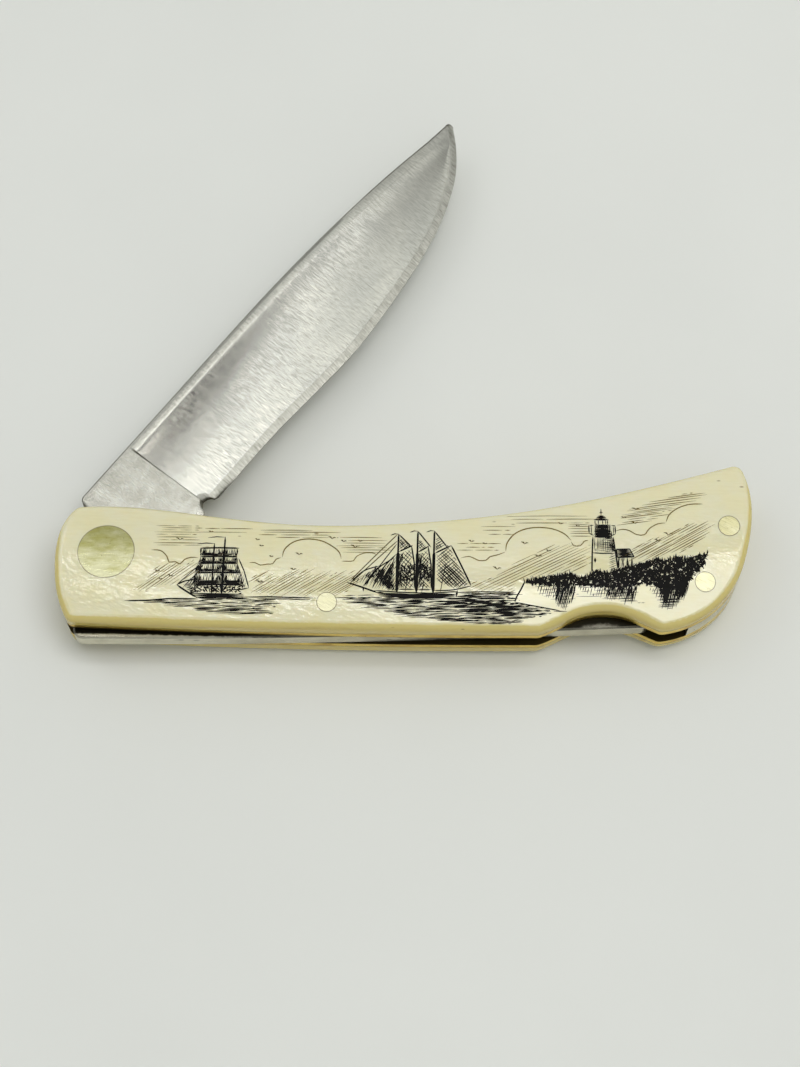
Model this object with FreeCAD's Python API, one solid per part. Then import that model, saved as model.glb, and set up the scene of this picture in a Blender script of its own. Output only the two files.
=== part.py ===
import FreeCAD, Part
import math
import os

# Folding knife with a rocker lock, lying on its rear scale, blade half open.
# Frame: the pivot axis is Z at x = y = 0, z = 0 is the lowest face, +Z points to the engraved scale,
# +X runs along the straight back of the handle to the butt, +Y points to the side the blade folds into.
# Lengths are in millimetres and angles in degrees.

# Layers of the handle, from the face it lies on upwards
SCALE_T = 3.5
LINER_T = 1.2
SLOT_W = 3.3                # gap between the liners that the blade and the lock bar work in
STEEL_T = 3.175             # 1/8 inch stock of blade and lock bar
Z_REAR_LINER = SCALE_T
Z_SLOT = Z_REAR_LINER + LINER_T
Z_FRONT_LINER = Z_SLOT + SLOT_W
Z_FRONT_SCALE = Z_FRONT_LINER + LINER_T
Z_FACE = Z_FRONT_SCALE + SCALE_T
Z_MID = Z_FACE / 2
Z_STEEL = Z_MID - STEEL_T / 2

# Handle outline: five corners, and the curves between them
TOP_LEFT = (-5.5, 8.35)
HORN = (104.2, 18.75)
NOTCH_RIGHT = (90.6, -10.8)
NOTCH_LEFT = (70.8, -11.8)
BACK_LEFT = (-5.6, -11.7)
TOP_CURVE = [(3.0, 8.6), (14.0, 7.6), (30.0, 6.1), (50.0, 6.8), (70.0, 9.6), (90.0, 14.5)]
BUTT_CURVE = [(105.85, 12.0), (105.0, 3.6), (102.6, -3.0), (98.0, -7.9)]
NOTCH_CURVE = [(88.3, -9.8), (85.3, -8.5), (81.4, -7.95), (77.4, -8.6), (74.0, -10.3)]
BACK_BULGE = (33.0, -12.25)
FRONT_CURVE = [(-7.5, -7.6), (-8.45, -1.6), (-7.6, 5.2)]
CORNER_R = {TOP_LEFT: 2.0, HORN: 1.6, NOTCH_RIGHT: 1.6, NOTCH_LEFT: 2.5, BACK_LEFT: 1.5}

# Crown of the scales: a bar of this cross radius, bent to follow the curved middle line of the handle
CROWN_CENTRE = (32.0, 247.0)
CROWN_RING_R = 250.0
CROWN_TUBE_R = 60.0
CROWN_HALF_WIDTH = 24.0
CROWN_DEPTH = 30.0
CROWN_SWEEP = 60.0
REAR_FLAT_DEPTH = 0.2       # the rear crown is cut this deep, so the knife lies on a flat
SCALE_EDGE_R = 1.4

# Pins
PIVOT = (0.0, 0.0)
PIVOT_R = 2.38              # 3/16 inch pin
COLLAR_R = 4.55
FLARE_R = 3.3               # head that the pivot pin is spun out to inside each collar
FLARE_H = 0.9
ROCKER = (36.3, -8.0)
ROCKER_PIN_R = 1.55
UPPER_BUTT = (101.8, 6.8)
UPPER_BUTT_R = 1.7
LOWER_BUTT = (97.65, -2.95)
LOWER_BUTT_R = 1.6
BODY_PIN_R = 1.35           # shank of the butt pins inside the liners
FIT = 0.05                  # radial running clearance of a turning fit
HEAD_PROUD = 0.03           # pin heads stand this far above the crowned front face

# Blade, in its own axes: u runs from the pivot along the spine to the tip, v across to the spine
BLADE_ANGLE = 54.0          # direction of the spine in the half-open rest pose
CLOSED_ANGLE = 4.5
SPINE_V = 11.35
SPINE_BEND_U = 48.0         # the spine is straight to here and then falls to the tip
TIP = (103.6, 7.07)
EDGE_CURVE = [(35.0, -6.45), (48.0, -7.25), (57.0, -7.6), (67.0, -6.95), (77.0, -5.8),
              (86.0, -3.9), (94.0, -0.9), (99.5, 2.7)]
PLUNGE_U = 18.0
GRIND_BELOW_SPINE = 1.7     # width of the flat left along the spine
EDGE_HALF_T = 0.32          # half thickness where the hollow grind meets the cutting bevel
# Half thickness against the share of the way from the grind line to the edge; share -1 is past the spine
HOLLOW = [(-1, STEEL_T / 2 + 0.02), (0.0, STEEL_T / 2), (0.3, 0.95), (0.65, 0.5), (1.0, EDGE_HALF_T)]
TAPER_U = 74.0              # from here to the point the blade also gets thinner
POINT_THINNING = 0.72
BEVEL_W = 1.5
BEVEL_TOP_T = 0.48          # half thickness at the top of the bevel
BEVEL_EDGE_T = 0.08         # half thickness left at the cutting edge
CHOIL_U = 18.3
CHOIL_V = -6.35
CHOIL_R = 1.5
CAM_R = 8.1                 # round of the tang that the lock bar rides on
CAM_TOP = 86.8              # angle on the round where the locking recess begins
STEP_FOOT = (4.58, 6.15)    # the locking step rises from here to the spine
STEP_LEAN = 11.6            # the locking step leans this much from square
STEP_CORNER_R = 1.0
FLOOR_END = (0.7, 6.5)      # the floor of the recess runs from the step to here
BELLY_V = -6.1              # lower edge of the tang, and of the flat that the closed bar drops onto
FLAT_END = (-0.75, -6.5)
FLAT_EXIT = 265.8           # angle on the round where that flat's ramp ends
KICK = [(12.3, BELLY_V), (14.0, -7.0), (16.1, -7.0)]
NICK_U = 58.0
NICK_LENGTH = 13.0
NICK_DEPTH = 0.7
NICK_DROP = 1.8             # distance below the spine
NICK_WIDTH = 1.1

# Lock bar, drawn flush with the back of the handle and then rocked by the cam to its rest pose
REST_ROCK = 2.4
BAR_FRONT_X = -5.5
BAR_END_X = 89.6
BAR_TAIL_DEPTH = 4.3
BAR_BOSS_R = 3.3
BAR_RELIEF_R = CAM_R + 0.3
BAR_CHAMFER = 0.3
BAR_CORNER_R = 1.6          # corner at the front end
BAR_TAIL_R = 2.2            # outer corner of the tail
BAR_TAIL_INNER_R = 1.2
BAR_BACK_MIDDLE_Y = -12.25  # lowest point of its outer edge, at the same x as the bulge of the back
BAR_CURVE_FRONT = 0.00038   # how fast the outer edge curves in front of that point and behind it
BAR_CURVE_REAR = 0.00021
HOOK_FRONT = (BAR_FRONT_X + 1.05, -6.3)
HOOK_BACK = (-1.0, -6.65)   # underside of the hook, from its front corner to here
RELIEF_START = 264.6        # angles on the relief round that clears the tang
RELIEF_END = 316.3

# Butt spacer and lock spring
SPACER_FRONT_X = 95.2
SPACER_CUT = [(102.4, 9.8), (99.6, 8.9), (SPACER_FRONT_X, 2.2)]     # inner side, from the butt forwards
SPRING_T = 1.1
SPRING_W = 3.0
SPRING_SLOT_DEPTH = 4.4
SPRING_ROOT_Y = -0.4        # middle of the spring where it leaves the spacer
SPRING_MIDDLE = [(86.0, -1.2), (74.0, -3.35), (62.0, -4.85)]        # middle line from there to its tip


def vec(point, z=0.0):
    return FreeCAD.Vector(point[0], point[1], z)


def line(a, b):
    return Part.makeLine(vec(a), vec(b))


def arc(a, middle, b):
    return Part.Arc(vec(a), vec(middle), vec(b)).toShape()


def curve(points):
    spline = Part.BSplineCurve()
    spline.interpolate([vec(p) for p in points])
    return spline.toShape()


def on_circle(radius, degrees, centre=(0.0, 0.0)):
    a = math.radians(degrees)
    return (centre[0] + radius * math.cos(a), centre[1] + radius * math.sin(a))


def turned(point, degrees):
    radius = math.hypot(*point)
    return on_circle(radius, math.degrees(math.atan2(point[1], point[0])) + degrees)


def plate(edges, z0, z1):
    face = Part.Face(Part.Wire(edges))
    return face.extrude(FreeCAD.Vector(0, 0, z1 - z0)).translated(FreeCAD.Vector(0, 0, z0))


def rod(centre, radius, z0, z1):
    return Part.makeCylinder(radius, z1 - z0, vec(centre, z0))


def upright_edges(shape, point):
    """The vertical edges of a plate that stand on this point of its outline."""
    found = []
    for edge in shape.Edges:
        ends = [v.Point for v in edge.Vertexes]
        if len(ends) == 2 and all(math.hypot(p.x - point[0], p.y - point[1]) < 0.01 for p in ends):
            found.append(edge)
    return found


def round_corners(shape, radii):
    for point, radius in radii.items():
        shape = shape.makeFillet(radius, upright_edges(shape, point))
    return shape


def rim_edges(shape, z_low, z_high):
    """The edges round the rim of a plate's face that lies between these heights."""
    found = []
    for edge in shape.Edges:
        box = edge.BoundBox
        if box.ZMin > z_low and box.ZMax < z_high:
            found.append(edge)
    return found


# ---------------------------------------------------------------- handle

def handle_plate(z0, z1):
    edges = [
        curve([TOP_LEFT] + TOP_CURVE + [HORN]),
        curve([HORN] + BUTT_CURVE + [NOTCH_RIGHT]),
        curve([NOTCH_RIGHT] + NOTCH_CURVE + [NOTCH_LEFT]),
        arc(NOTCH_LEFT, BACK_BULGE, BACK_LEFT),
        curve([BACK_LEFT] + FRONT_CURVE + [TOP_LEFT]),
    ]
    return round_corners(plate(edges, z0, z1), CORNER_R)


def crown(z_crest, side):
    """Curved bar that crests at z_crest and bounds the handle: side +1 for the front, -1 for the rear."""
    half = CROWN_HALF_WIDTH
    drop = CROWN_TUBE_R - math.sqrt(CROWN_TUBE_R ** 2 - half ** 2)
    y_crest = CROWN_CENTRE[1] - CROWN_RING_R
    z_base = z_crest - side * CROWN_DEPTH

    def station(across, z):
        return FreeCAD.Vector(CROWN_CENTRE[0], y_crest + across, z)

    left = station(-half, z_crest - side * drop)
    right = station(half, z_crest - side * drop)
    section = Part.Wire([
        Part.Arc(left, station(0, z_crest), right).toShape(),
        Part.makeLine(right, station(half, z_base)),
        Part.makeLine(station(half, z_base), station(-half, z_base)),
        Part.makeLine(station(-half, z_base), left),
    ])
    face = Part.Face(section)
    face.rotate(vec(CROWN_CENTRE), FreeCAD.Vector(0, 0, 1), -CROWN_SWEEP / 2)
    return face.revolve(vec(CROWN_CENTRE), FreeCAD.Vector(0, 0, 1), CROWN_SWEEP).toNurbs()


def make_front_scale(holes):
    slab = handle_plate(Z_FRONT_SCALE, Z_FACE).common(crown(Z_FACE, 1))
    slab = slab.makeFillet(SCALE_EDGE_R, rim_edges(slab, Z_FRONT_SCALE + 0.5, Z_FACE + 1))
    return slab.cut(holes)


def make_rear_scale(holes):
    slab = handle_plate(0, Z_REAR_LINER).common(crown(-REAR_FLAT_DEPTH, -1))
    rim = [e for e in rim_edges(slab, -1, Z_REAR_LINER - 0.5) if on_outline(e)]
    slab = slab.makeFillet(SCALE_EDGE_R, rim)
    return slab.cut(holes)


def on_outline(edge):
    """True for an edge along the plan outline of the handle."""
    middle = edge.valueAt((edge.FirstParameter + edge.LastParameter) / 2)
    wall = OUTLINE_SHELL.distToShape(Part.Vertex(middle))[0]
    return wall < 0.01


def make_liner(z0, holes):
    return handle_plate(z0, z0 + LINER_T).cut(holes)


# ---------------------------------------------------------------- pins

def flush(shape):
    """The shape cut to the crowned faces of the scales, its front end standing HEAD_PROUD above them."""
    return shape.common(crown(Z_FACE + HEAD_PROUD, 1)).common(crown(-REAR_FLAT_DEPTH, -1))


def make_pivot_pin():
    top_z = Z_FACE + HEAD_PROUD
    shank = rod(PIVOT, PIVOT_R, FLARE_H, top_z - FLARE_H)
    top = Part.makeCone(PIVOT_R, FLARE_R, FLARE_H, vec(PIVOT, top_z - FLARE_H))
    bottom = Part.makeCone(FLARE_R, PIVOT_R, FLARE_H, vec(PIVOT))
    return flush(shank.fuse([top, bottom]).removeSplitter())


def make_collar(z0, z1):
    """Disc let into a scale round the pivot, with the pin's flared end spun into it."""
    return flush(rod(PIVOT, COLLAR_R, z0, z1)).cut(make_pivot_pin())


def make_pin(centre, head_r, shank_r):
    """Pin through the whole handle, head_r wide in the scales and shank_r wide between them."""
    pin = rod(centre, shank_r, 0, Z_FACE + 1)
    if head_r > shank_r:
        rear = rod(centre, head_r, 0, Z_REAR_LINER)
        front = rod(centre, head_r, Z_FRONT_SCALE, Z_FACE + 1)
        pin = pin.fuse([rear, front]).removeSplitter()
    return flush(pin)


# ---------------------------------------------------------------- blade

def spine_v(u):
    fall = max(0.0, (u - SPINE_BEND_U) / (TIP[0] - SPINE_BEND_U))
    return SPINE_V - (SPINE_V - TIP[1]) * fall ** 2


def tang_edges():
    """Outline of tang and ricasso from the heel of the edge back round to the spine."""
    rise = SPINE_V - STEP_FOOT[1]
    step_top = (STEP_FOOT[0] + rise * math.tan(math.radians(STEP_LEAN)), SPINE_V)
    cam_start = on_circle(CAM_R, CAM_TOP)
    flat_start = turned((-math.sqrt(CAM_R ** 2 - BELLY_V ** 2), BELLY_V), -CLOSED_ANGLE)
    flat_end = turned(FLAT_END, -CLOSED_ANGLE)
    cam_again = on_circle(CAM_R, FLAT_EXIT - CLOSED_ANGLE)
    cam_end = (math.sqrt(CAM_R ** 2 - BELLY_V ** 2), BELLY_V)
    end_angle = 360 + math.degrees(math.atan2(cam_end[1], cam_end[0]))
    belly_middle = on_circle(CAM_R, (FLAT_EXIT - CLOSED_ANGLE + end_angle) / 2)
    choil_start = (CHOIL_U - CHOIL_R, CHOIL_V)
    heel = (CHOIL_U + CHOIL_R, CHOIL_V)
    edges = [
        line(step_top, STEP_FOOT),
        line(STEP_FOOT, FLOOR_END),
        line(FLOOR_END, cam_start),
        arc(cam_start, on_circle(CAM_R, 160), flat_start),
        line(flat_start, flat_end),
        line(flat_end, cam_again),
        arc(cam_again, belly_middle, cam_end),
        line(cam_end, KICK[0]),
        line(KICK[0], KICK[1]),
        line(KICK[1], KICK[2]),
        line(KICK[2], choil_start),
        arc(choil_start, (CHOIL_U, CHOIL_V + CHOIL_R), heel),
    ]
    return edges, step_top, heel


def grind_tool(side):
    """Solid that hollows one face of the blade from near the spine to the edge and thins the point."""
    stations = [PLUNGE_U, 40.0, 60.0, TAPER_U, 86.0, 95.0, 100.0, TIP[0] + 1.5]
    rows = []
    for share, height in HOLLOW:
        points = []
        for u in stations:
            top = spine_v(u) - GRIND_BELOW_SPINE
            bottom = min(edge_v(u), top - 1.0) - 0.4
            taper = 1 - POINT_THINNING * (max(0.0, u - TAPER_U) / (TIP[0] - TAPER_U)) ** 1.5
            z = Z_MID + side * max(EDGE_HALF_T, height * taper)
            across = top + (bottom - top) * share if share >= 0 else spine_v(u) + 1.0
            points.append(FreeCAD.Vector(u, across, z))
        row = Part.BSplineCurve()
        row.interpolate(points)
        rows.append(Part.Wire(row.toShape()))
    surface = Part.makeLoft(rows, False, True)
    return surface.extrude(FreeCAD.Vector(0, 0, side * 3.0))


def edge_v(u):
    """Height of the cutting edge at u, on straight runs between the points of its curve."""
    points = [(CHOIL_U + CHOIL_R, CHOIL_V)] + EDGE_CURVE + [TIP]
    if u <= points[0][0]:
        return points[0][1]
    for (u0, v0), (u1, v1) in zip(points, points[1:]):
        if u <= u1:
            return v0 + (v1 - v0) * (u - u0) / (u1 - u0)
    return points[-1][1]


def bevel_tool(side):
    """Solid that cuts the narrow bevel along one face of the cutting edge."""
    below = 0.6
    slope = (BEVEL_TOP_T - BEVEL_EDGE_T) / BEVEL_W
    first = CHOIL_U - 2.0
    last = TIP[0] + 1.0
    steps = 14
    upper = []
    lower = []
    for i in range(steps + 1):
        u = first + (last - first) * i / steps
        upper.append(FreeCAD.Vector(u, edge_v(u) + BEVEL_W, Z_MID + side * BEVEL_TOP_T))
        lower.append(FreeCAD.Vector(u, edge_v(u) - below, Z_MID + side * (BEVEL_EDGE_T - slope * below)))
    rows = []
    for points in (upper, lower):
        row = Part.BSplineCurve()
        row.interpolate(points)
        rows.append(row.toShape())
    surface = Part.makeRuledSurface(rows[0], rows[1])
    return surface.extrude(FreeCAD.Vector(0, 0, side * 3.0))


def nail_nick():
    """Thin crescent in the rear face, near the spine, for opening the blade."""
    radius = (NICK_LENGTH ** 2 / 4 + NICK_DEPTH ** 2) / (2 * NICK_DEPTH)
    centre = FreeCAD.Vector(NICK_U, spine_v(NICK_U) - NICK_DROP, Z_STEEL + NICK_DEPTH - radius)
    return Part.makeCylinder(radius, NICK_WIDTH, centre, FreeCAD.Vector(0, -1, 0))


def make_blade():
    edges, step_top, heel = tang_edges()
    cutting = curve([heel] + EDGE_CURVE + [TIP])
    fall = [SPINE_BEND_U + (TIP[0] - SPINE_BEND_U) * share for share in (1.0, 0.7, 0.35, 0.0)]
    back = curve([(u, spine_v(u)) for u in fall])
    edges += [cutting, back, line((SPINE_BEND_U, SPINE_V), step_top)]
    steel = plate(edges, Z_STEEL, Z_STEEL + STEEL_T)
    steel = steel.makeFillet(STEP_CORNER_R, upright_edges(steel, step_top))
    for side in (1, -1):
        steel = steel.cut(grind_tool(side))
        steel = steel.cut(bevel_tool(side))
    steel = steel.cut(nail_nick())
    steel = steel.cut(rod(PIVOT, PIVOT_R + FIT, 0, Z_FACE))
    steel.rotate(vec(PIVOT), FreeCAD.Vector(0, 0, 1), BLADE_ANGLE)
    return steel


# ---------------------------------------------------------------- lock

def bar_outer_y(x):
    """Outer edge of the flush lock bar, curved like the back of the handle."""
    off = x - BACK_BULGE[0]
    bend = BAR_CURVE_FRONT if off < 0 else BAR_CURVE_REAR
    return BAR_BACK_MIDDLE_Y + bend * off ** 2


def make_lock_bar():
    lean = math.tan(math.radians(STEP_LEAN))
    corner_y = bar_outer_y(BAR_FRONT_X)
    corner = (HOOK_FRONT[0] - (HOOK_FRONT[1] - corner_y) * lean, corner_y)
    relief_start = on_circle(BAR_RELIEF_R, RELIEF_START)
    relief_middle = on_circle(BAR_RELIEF_R, (RELIEF_START + RELIEF_END) / 2)
    relief_end = on_circle(BAR_RELIEF_R, RELIEF_END)
    boss_left = on_circle(BAR_BOSS_R, 140, ROCKER)
    boss_top = on_circle(BAR_BOSS_R, 90, ROCKER)
    boss_right = on_circle(BAR_BOSS_R, 40, ROCKER)
    tail = (BAR_END_X, bar_outer_y(BAR_END_X))
    tail_inner = (BAR_END_X, tail[1] + BAR_TAIL_DEPTH)
    outer = [(x, bar_outer_y(x)) for x in (60.0, 33.0, 12.0)]
    edges = [
        line(corner, HOOK_FRONT),
        line(HOOK_FRONT, HOOK_BACK),
        line(HOOK_BACK, relief_start),
        arc(relief_start, relief_middle, relief_end),
        line(relief_end, boss_left),
        arc(boss_left, boss_top, boss_right),
        line(boss_right, tail_inner),
        line(tail_inner, tail),
        curve([tail] + outer + [corner]),
    ]
    bar = plate(edges, Z_STEEL, Z_STEEL + STEEL_T)
    bar = round_corners(bar, {corner: BAR_CORNER_R, tail: BAR_TAIL_R, tail_inner: BAR_TAIL_INNER_R})
    rim = []
    for edge in bar.Edges:
        box = edge.BoundBox
        if box.ZLength < 0.01 and box.YMax < -10.0:
            rim.append(edge)
    bar = bar.makeChamfer(BAR_CHAMFER, rim)
    bar = bar.cut(rod(ROCKER, ROCKER_PIN_R + FIT, 0, Z_FACE))
    bar.rotate(vec(ROCKER), FreeCAD.Vector(0, 0, 1), REST_ROCK)
    return bar


def make_spring():
    """Leaf from its slot in the spacer forward to the inner edge of the lock bar's tail."""
    root_x = SPACER_FRONT_X + SPRING_SLOT_DEPTH
    middle = [(SPACER_FRONT_X, SPRING_ROOT_Y)] + SPRING_MIDDLE
    lower = [(x, y - SPRING_T / 2) for x, y in middle]
    upper = [(x, y + SPRING_T / 2) for x, y in middle]
    root_lower = (root_x, lower[0][1])
    root_upper = (root_x, upper[0][1])
    edges = [
        line(root_lower, lower[0]),
        curve(lower),
        line(lower[-1], upper[-1]),
        curve(upper[::-1]),
        line(upper[0], root_upper),
        line(root_upper, root_lower),
    ]
    return plate(edges, Z_MID - SPRING_W / 2, Z_MID + SPRING_W / 2)


def make_spacer(holes):
    """Block that keeps the liners apart at the butt: the handle's outline behind its inner side."""
    below, behind = -20.0, 112.0        # beyond the outline of the handle
    corners = [(SPACER_FRONT_X, below), (behind, below), (behind, SPACER_CUT[0][1])] + SPACER_CUT
    edges = [line(a, b) for a, b in zip(corners, corners[1:] + corners[:1])]
    block = plate(edges, Z_SLOT, Z_FRONT_LINER).common(handle_plate(Z_SLOT, Z_FRONT_LINER))
    slot_y = SPRING_ROOT_Y - SPRING_T / 2
    slot = Part.makeBox(SPRING_SLOT_DEPTH, SPRING_T, SLOT_W, vec((SPACER_FRONT_X, slot_y), Z_SLOT))
    return block.cut([slot] + holes)


# ---------------------------------------------------------------- the parts

OUTLINE_SHELL = Part.Shell([f for f in handle_plate(-5, Z_FACE + 5).Faces if f.BoundBox.ZLength > 1])

butt_heads = [rod(UPPER_BUTT, UPPER_BUTT_R, 0, Z_FACE), rod(LOWER_BUTT, LOWER_BUTT_R, 0, Z_FACE)]
butt_shanks = [rod(UPPER_BUTT, BODY_PIN_R, 0, Z_FACE), rod(LOWER_BUTT, BODY_PIN_R, 0, Z_FACE)]
rocker_hole = rod(ROCKER, ROCKER_PIN_R, 0, Z_FACE)
scale_holes = butt_heads + [rocker_hole, rod(PIVOT, COLLAR_R, 0, Z_FACE)]
liner_holes = butt_shanks + [rocker_hole, rod(PIVOT, PIVOT_R, 0, Z_FACE)]

parts = {
    "front_scale": make_front_scale(scale_holes),
    "rear_scale": make_rear_scale(scale_holes),
    "front_liner": make_liner(Z_FRONT_LINER, liner_holes),
    "rear_liner": make_liner(Z_REAR_LINER, liner_holes),
    "front_pivot_collar": make_collar(Z_FRONT_SCALE, Z_FACE + 1),
    "rear_pivot_collar": make_collar(0, Z_REAR_LINER),
    "pivot_pin": make_pivot_pin(),
    "lock_bar_pin": make_pin(ROCKER, ROCKER_PIN_R, ROCKER_PIN_R),
    "upper_butt_pin": make_pin(UPPER_BUTT, UPPER_BUTT_R, BODY_PIN_R),
    "lower_butt_pin": make_pin(LOWER_BUTT, LOWER_BUTT_R, BODY_PIN_R),
    "butt_spacer": make_spacer(butt_shanks),
    "lock_spring": make_spring(),
    "lock_bar": make_lock_bar(),
    "blade": make_blade(),
}

os.makedirs("parts", exist_ok=True)
for name, shape in parts.items():
    state = "valid" if shape.isValid() else "BAD"
    print(name, shape.ShapeType, len(shape.Solids), state, round(shape.Volume, 1))
    shape.exportStep("parts/" + name + ".step")
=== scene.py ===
import math
import random

import bmesh
import bpy
import numpy as np
from mathutils import Matrix, Vector


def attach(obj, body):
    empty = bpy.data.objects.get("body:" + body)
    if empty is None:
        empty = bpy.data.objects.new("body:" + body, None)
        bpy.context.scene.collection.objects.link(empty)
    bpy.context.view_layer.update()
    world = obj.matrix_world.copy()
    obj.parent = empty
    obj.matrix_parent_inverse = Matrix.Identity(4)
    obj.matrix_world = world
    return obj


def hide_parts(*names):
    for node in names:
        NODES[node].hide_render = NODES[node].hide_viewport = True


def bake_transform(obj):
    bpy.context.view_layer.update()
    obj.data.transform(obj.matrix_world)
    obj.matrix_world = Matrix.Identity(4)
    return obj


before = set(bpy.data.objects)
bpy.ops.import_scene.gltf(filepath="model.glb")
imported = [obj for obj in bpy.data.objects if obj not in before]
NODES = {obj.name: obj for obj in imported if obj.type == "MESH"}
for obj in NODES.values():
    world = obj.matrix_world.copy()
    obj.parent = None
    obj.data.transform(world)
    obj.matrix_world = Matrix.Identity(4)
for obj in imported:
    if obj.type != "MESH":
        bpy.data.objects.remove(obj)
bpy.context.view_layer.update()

# Folding knife with scrimshawed bone scales. Blender works in metres; the numbers below are in
# millimetres, in the axes of the CAD part: pivot axis at x = y = 0, +X along the back to the butt,
# +Y the side the blade folds into, +Z the engraved scale.
MM = 0.001

Z_FACE = 12.7
Z_MID = 6.35
WELL_HALF = 1.68
# Painted shadow on the lock bar's upper side. Under the notch's rim: centre, squeeze along X, and the
# radii between which it starts. Along the liner: the heights Y and the lengths X between which it comes and
# goes.
NOTCH_DARK = (81.2, -14.5, 0.72, (4.9, 5.7))
NOTCH_DARK_X = (62.0, 68.0)
LINER_DARK_Y = (-12.80, -12.50)
BAR_FRONT_X = (50.0, 68.0)
# Painted shade on the front liner's outer edge, under the scale: the X, Y and Z between which it fades
LINER_SHADE_X = (18.0, 46.0)
LINER_SHADE_Y = (-9.0, -6.0)
LINER_SHADE_LOW_Z = (7.0, 7.5)
LINER_SHADE_HIGH_Z = (8.35, 8.75)
SCALE_JOINTS = (3.5, 9.2)
# Centre and radius of the disc and of the three pins
PINS = ((0.0, 0.0, 4.55), (36.3, -8.0, 1.55), (101.8, 6.8, 1.7), (97.65, -2.95, 1.6))

# The front scale's face is part of a ring: its centre, the radius of the ring and of its tube
CROWN_CENTRE = (32.0, 247.0)
CROWN_RING_R = 250.0
CROWN_TUBE_R = 60.0

# The blade in its own axes: U from the pivot to the tip, V from the edge to the spine
BLADE_ANGLE = math.radians(54.0)
CLOSED_ANGLE = math.radians(4.5)
STEEL_T = 3.175
SPINE_V = 11.35
SPINE_BEND_U = 48.0
TIP = (103.6, 7.07)
TIP_R = 0.75
EDGE = ((19.8, -6.35), (35.0, -6.45), (48.0, -7.25), (57.0, -7.6), (67.0, -6.95), (77.0, -5.8),
        (86.0, -3.9), (94.0, -0.9), (99.5, 2.7), (103.6, 7.07))
PLUNGE_U = 18.0
HEEL_U = 28.0
CHOIL_U = (16.5, 19.85)
GRIND_BELOW_SPINE = 1.7
GRIND_SOFT = 0.012
HOLLOW = ((0.0, 1.5875), (0.12, 1.29), (0.3, 0.96), (0.6, 0.60), (1.0, 0.34))
TAPER_U = 74.0
POINT_THINNING = 0.72
BEVEL_W = 1.5
EDGE_T = 0.08
BEVEL_SLOPE = 0.267
CAM_R = 8.1
TANG_FLAT_V = -6.1
NOTCH_V = 6.15
KICK_V = -7.0
CHOIL = (18.3, -6.35, 1.5)
CHOIL_PULL = 0.1
CHOIL_BLEND_FROM = 0.45
PIVOT_R = 2.43
PIVOT_CUT_Z = (2.0, 11.0)
ARRIS = 0.32
ROUND_STEPS = 5
SHARP_BLADE = math.radians(38)
SHARP_SPRING = math.radians(30)

# Depth of an ink sliver in the bone, and how far it stands above it
INK_DEPTH = 0.03
INK_RISE = 0.014

LIGHT_AIM = (0.045, 0.02, 0.0)    # metres: the middle of the knife on the floor

# Room light: strength low down and overhead, the heights between which it changes, and soft bright
# and dim patches of the ceiling, each with the x and y of its direction and what it adds. The
# strengths of the room, of the patches and of most lights come from a least-squares fit.
WORLD_LOW = 0.544
WORLD_HIGH = 0.287
WORLD_Z = (0.70, 0.93)
PATCHES = ((-0.05, 0.46, 0.47), (-0.05, 0.56, -0.45), (0.05, 0.26, -0.45),
           (0.05, 0.46, 0.231), (0.05, 0.56, 0.47), (0.15, 0.26, -0.45),
           (0.15, 0.56, -0.232), (0.25, 0.36, 0.45))
PATCH_RADIUS = 9.0


# ------------------------------------------------------------------ camera, floor, light

def srgb(r, g, b):
    """Linear colour of an 8 bit sRGB value."""
    def linear(c):
        c /= 255
        return c / 12.92 if c <= 0.04045 else ((c + 0.055) / 1.055) ** 2.4
    return (linear(r), linear(g), linear(b), 1.0)


def add_camera():
    data = bpy.data.cameras.new("camera")
    data.lens = 70.85
    data.sensor_width = 36.0
    data.clip_start = 0.01
    data.clip_end = 10.0
    camera = to_scene("camera", data)
    yaw, pitch = math.radians(1.3), math.radians(66.81)
    right = Vector((math.cos(yaw), math.sin(yaw), 0.0))
    ahead = Vector((-math.sin(yaw) * math.cos(pitch), math.cos(yaw) * math.cos(pitch), -math.sin(pitch)))
    turn = Matrix((right, right.cross(ahead), -ahead)).transposed()
    camera.matrix_world = Matrix.Translation((0.05095, -0.13115, 0.32872)) @ turn.to_4x4()
    bpy.context.scene.camera = camera


def add_softbox(name, direction, distance, size, power, colour=(1.0, 1.0, 1.0)):
    """Rectangular light looking at the middle of the knife from this direction; its width runs along X."""
    data = bpy.data.lights.new(name, "AREA")
    data.shape = "RECTANGLE"
    data.size, data.size_y = size
    data.energy = power
    data.color = colour
    light = to_scene(name, data)
    back = Vector(direction).normalized()
    side = Vector((1, 0, 0))
    side = (side - back * side.dot(back)).normalized()
    turn = Matrix((side, back.cross(side), back)).transposed()
    light.matrix_world = Matrix.Translation(Vector(LIGHT_AIM) + back * distance) @ turn.to_4x4()


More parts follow.
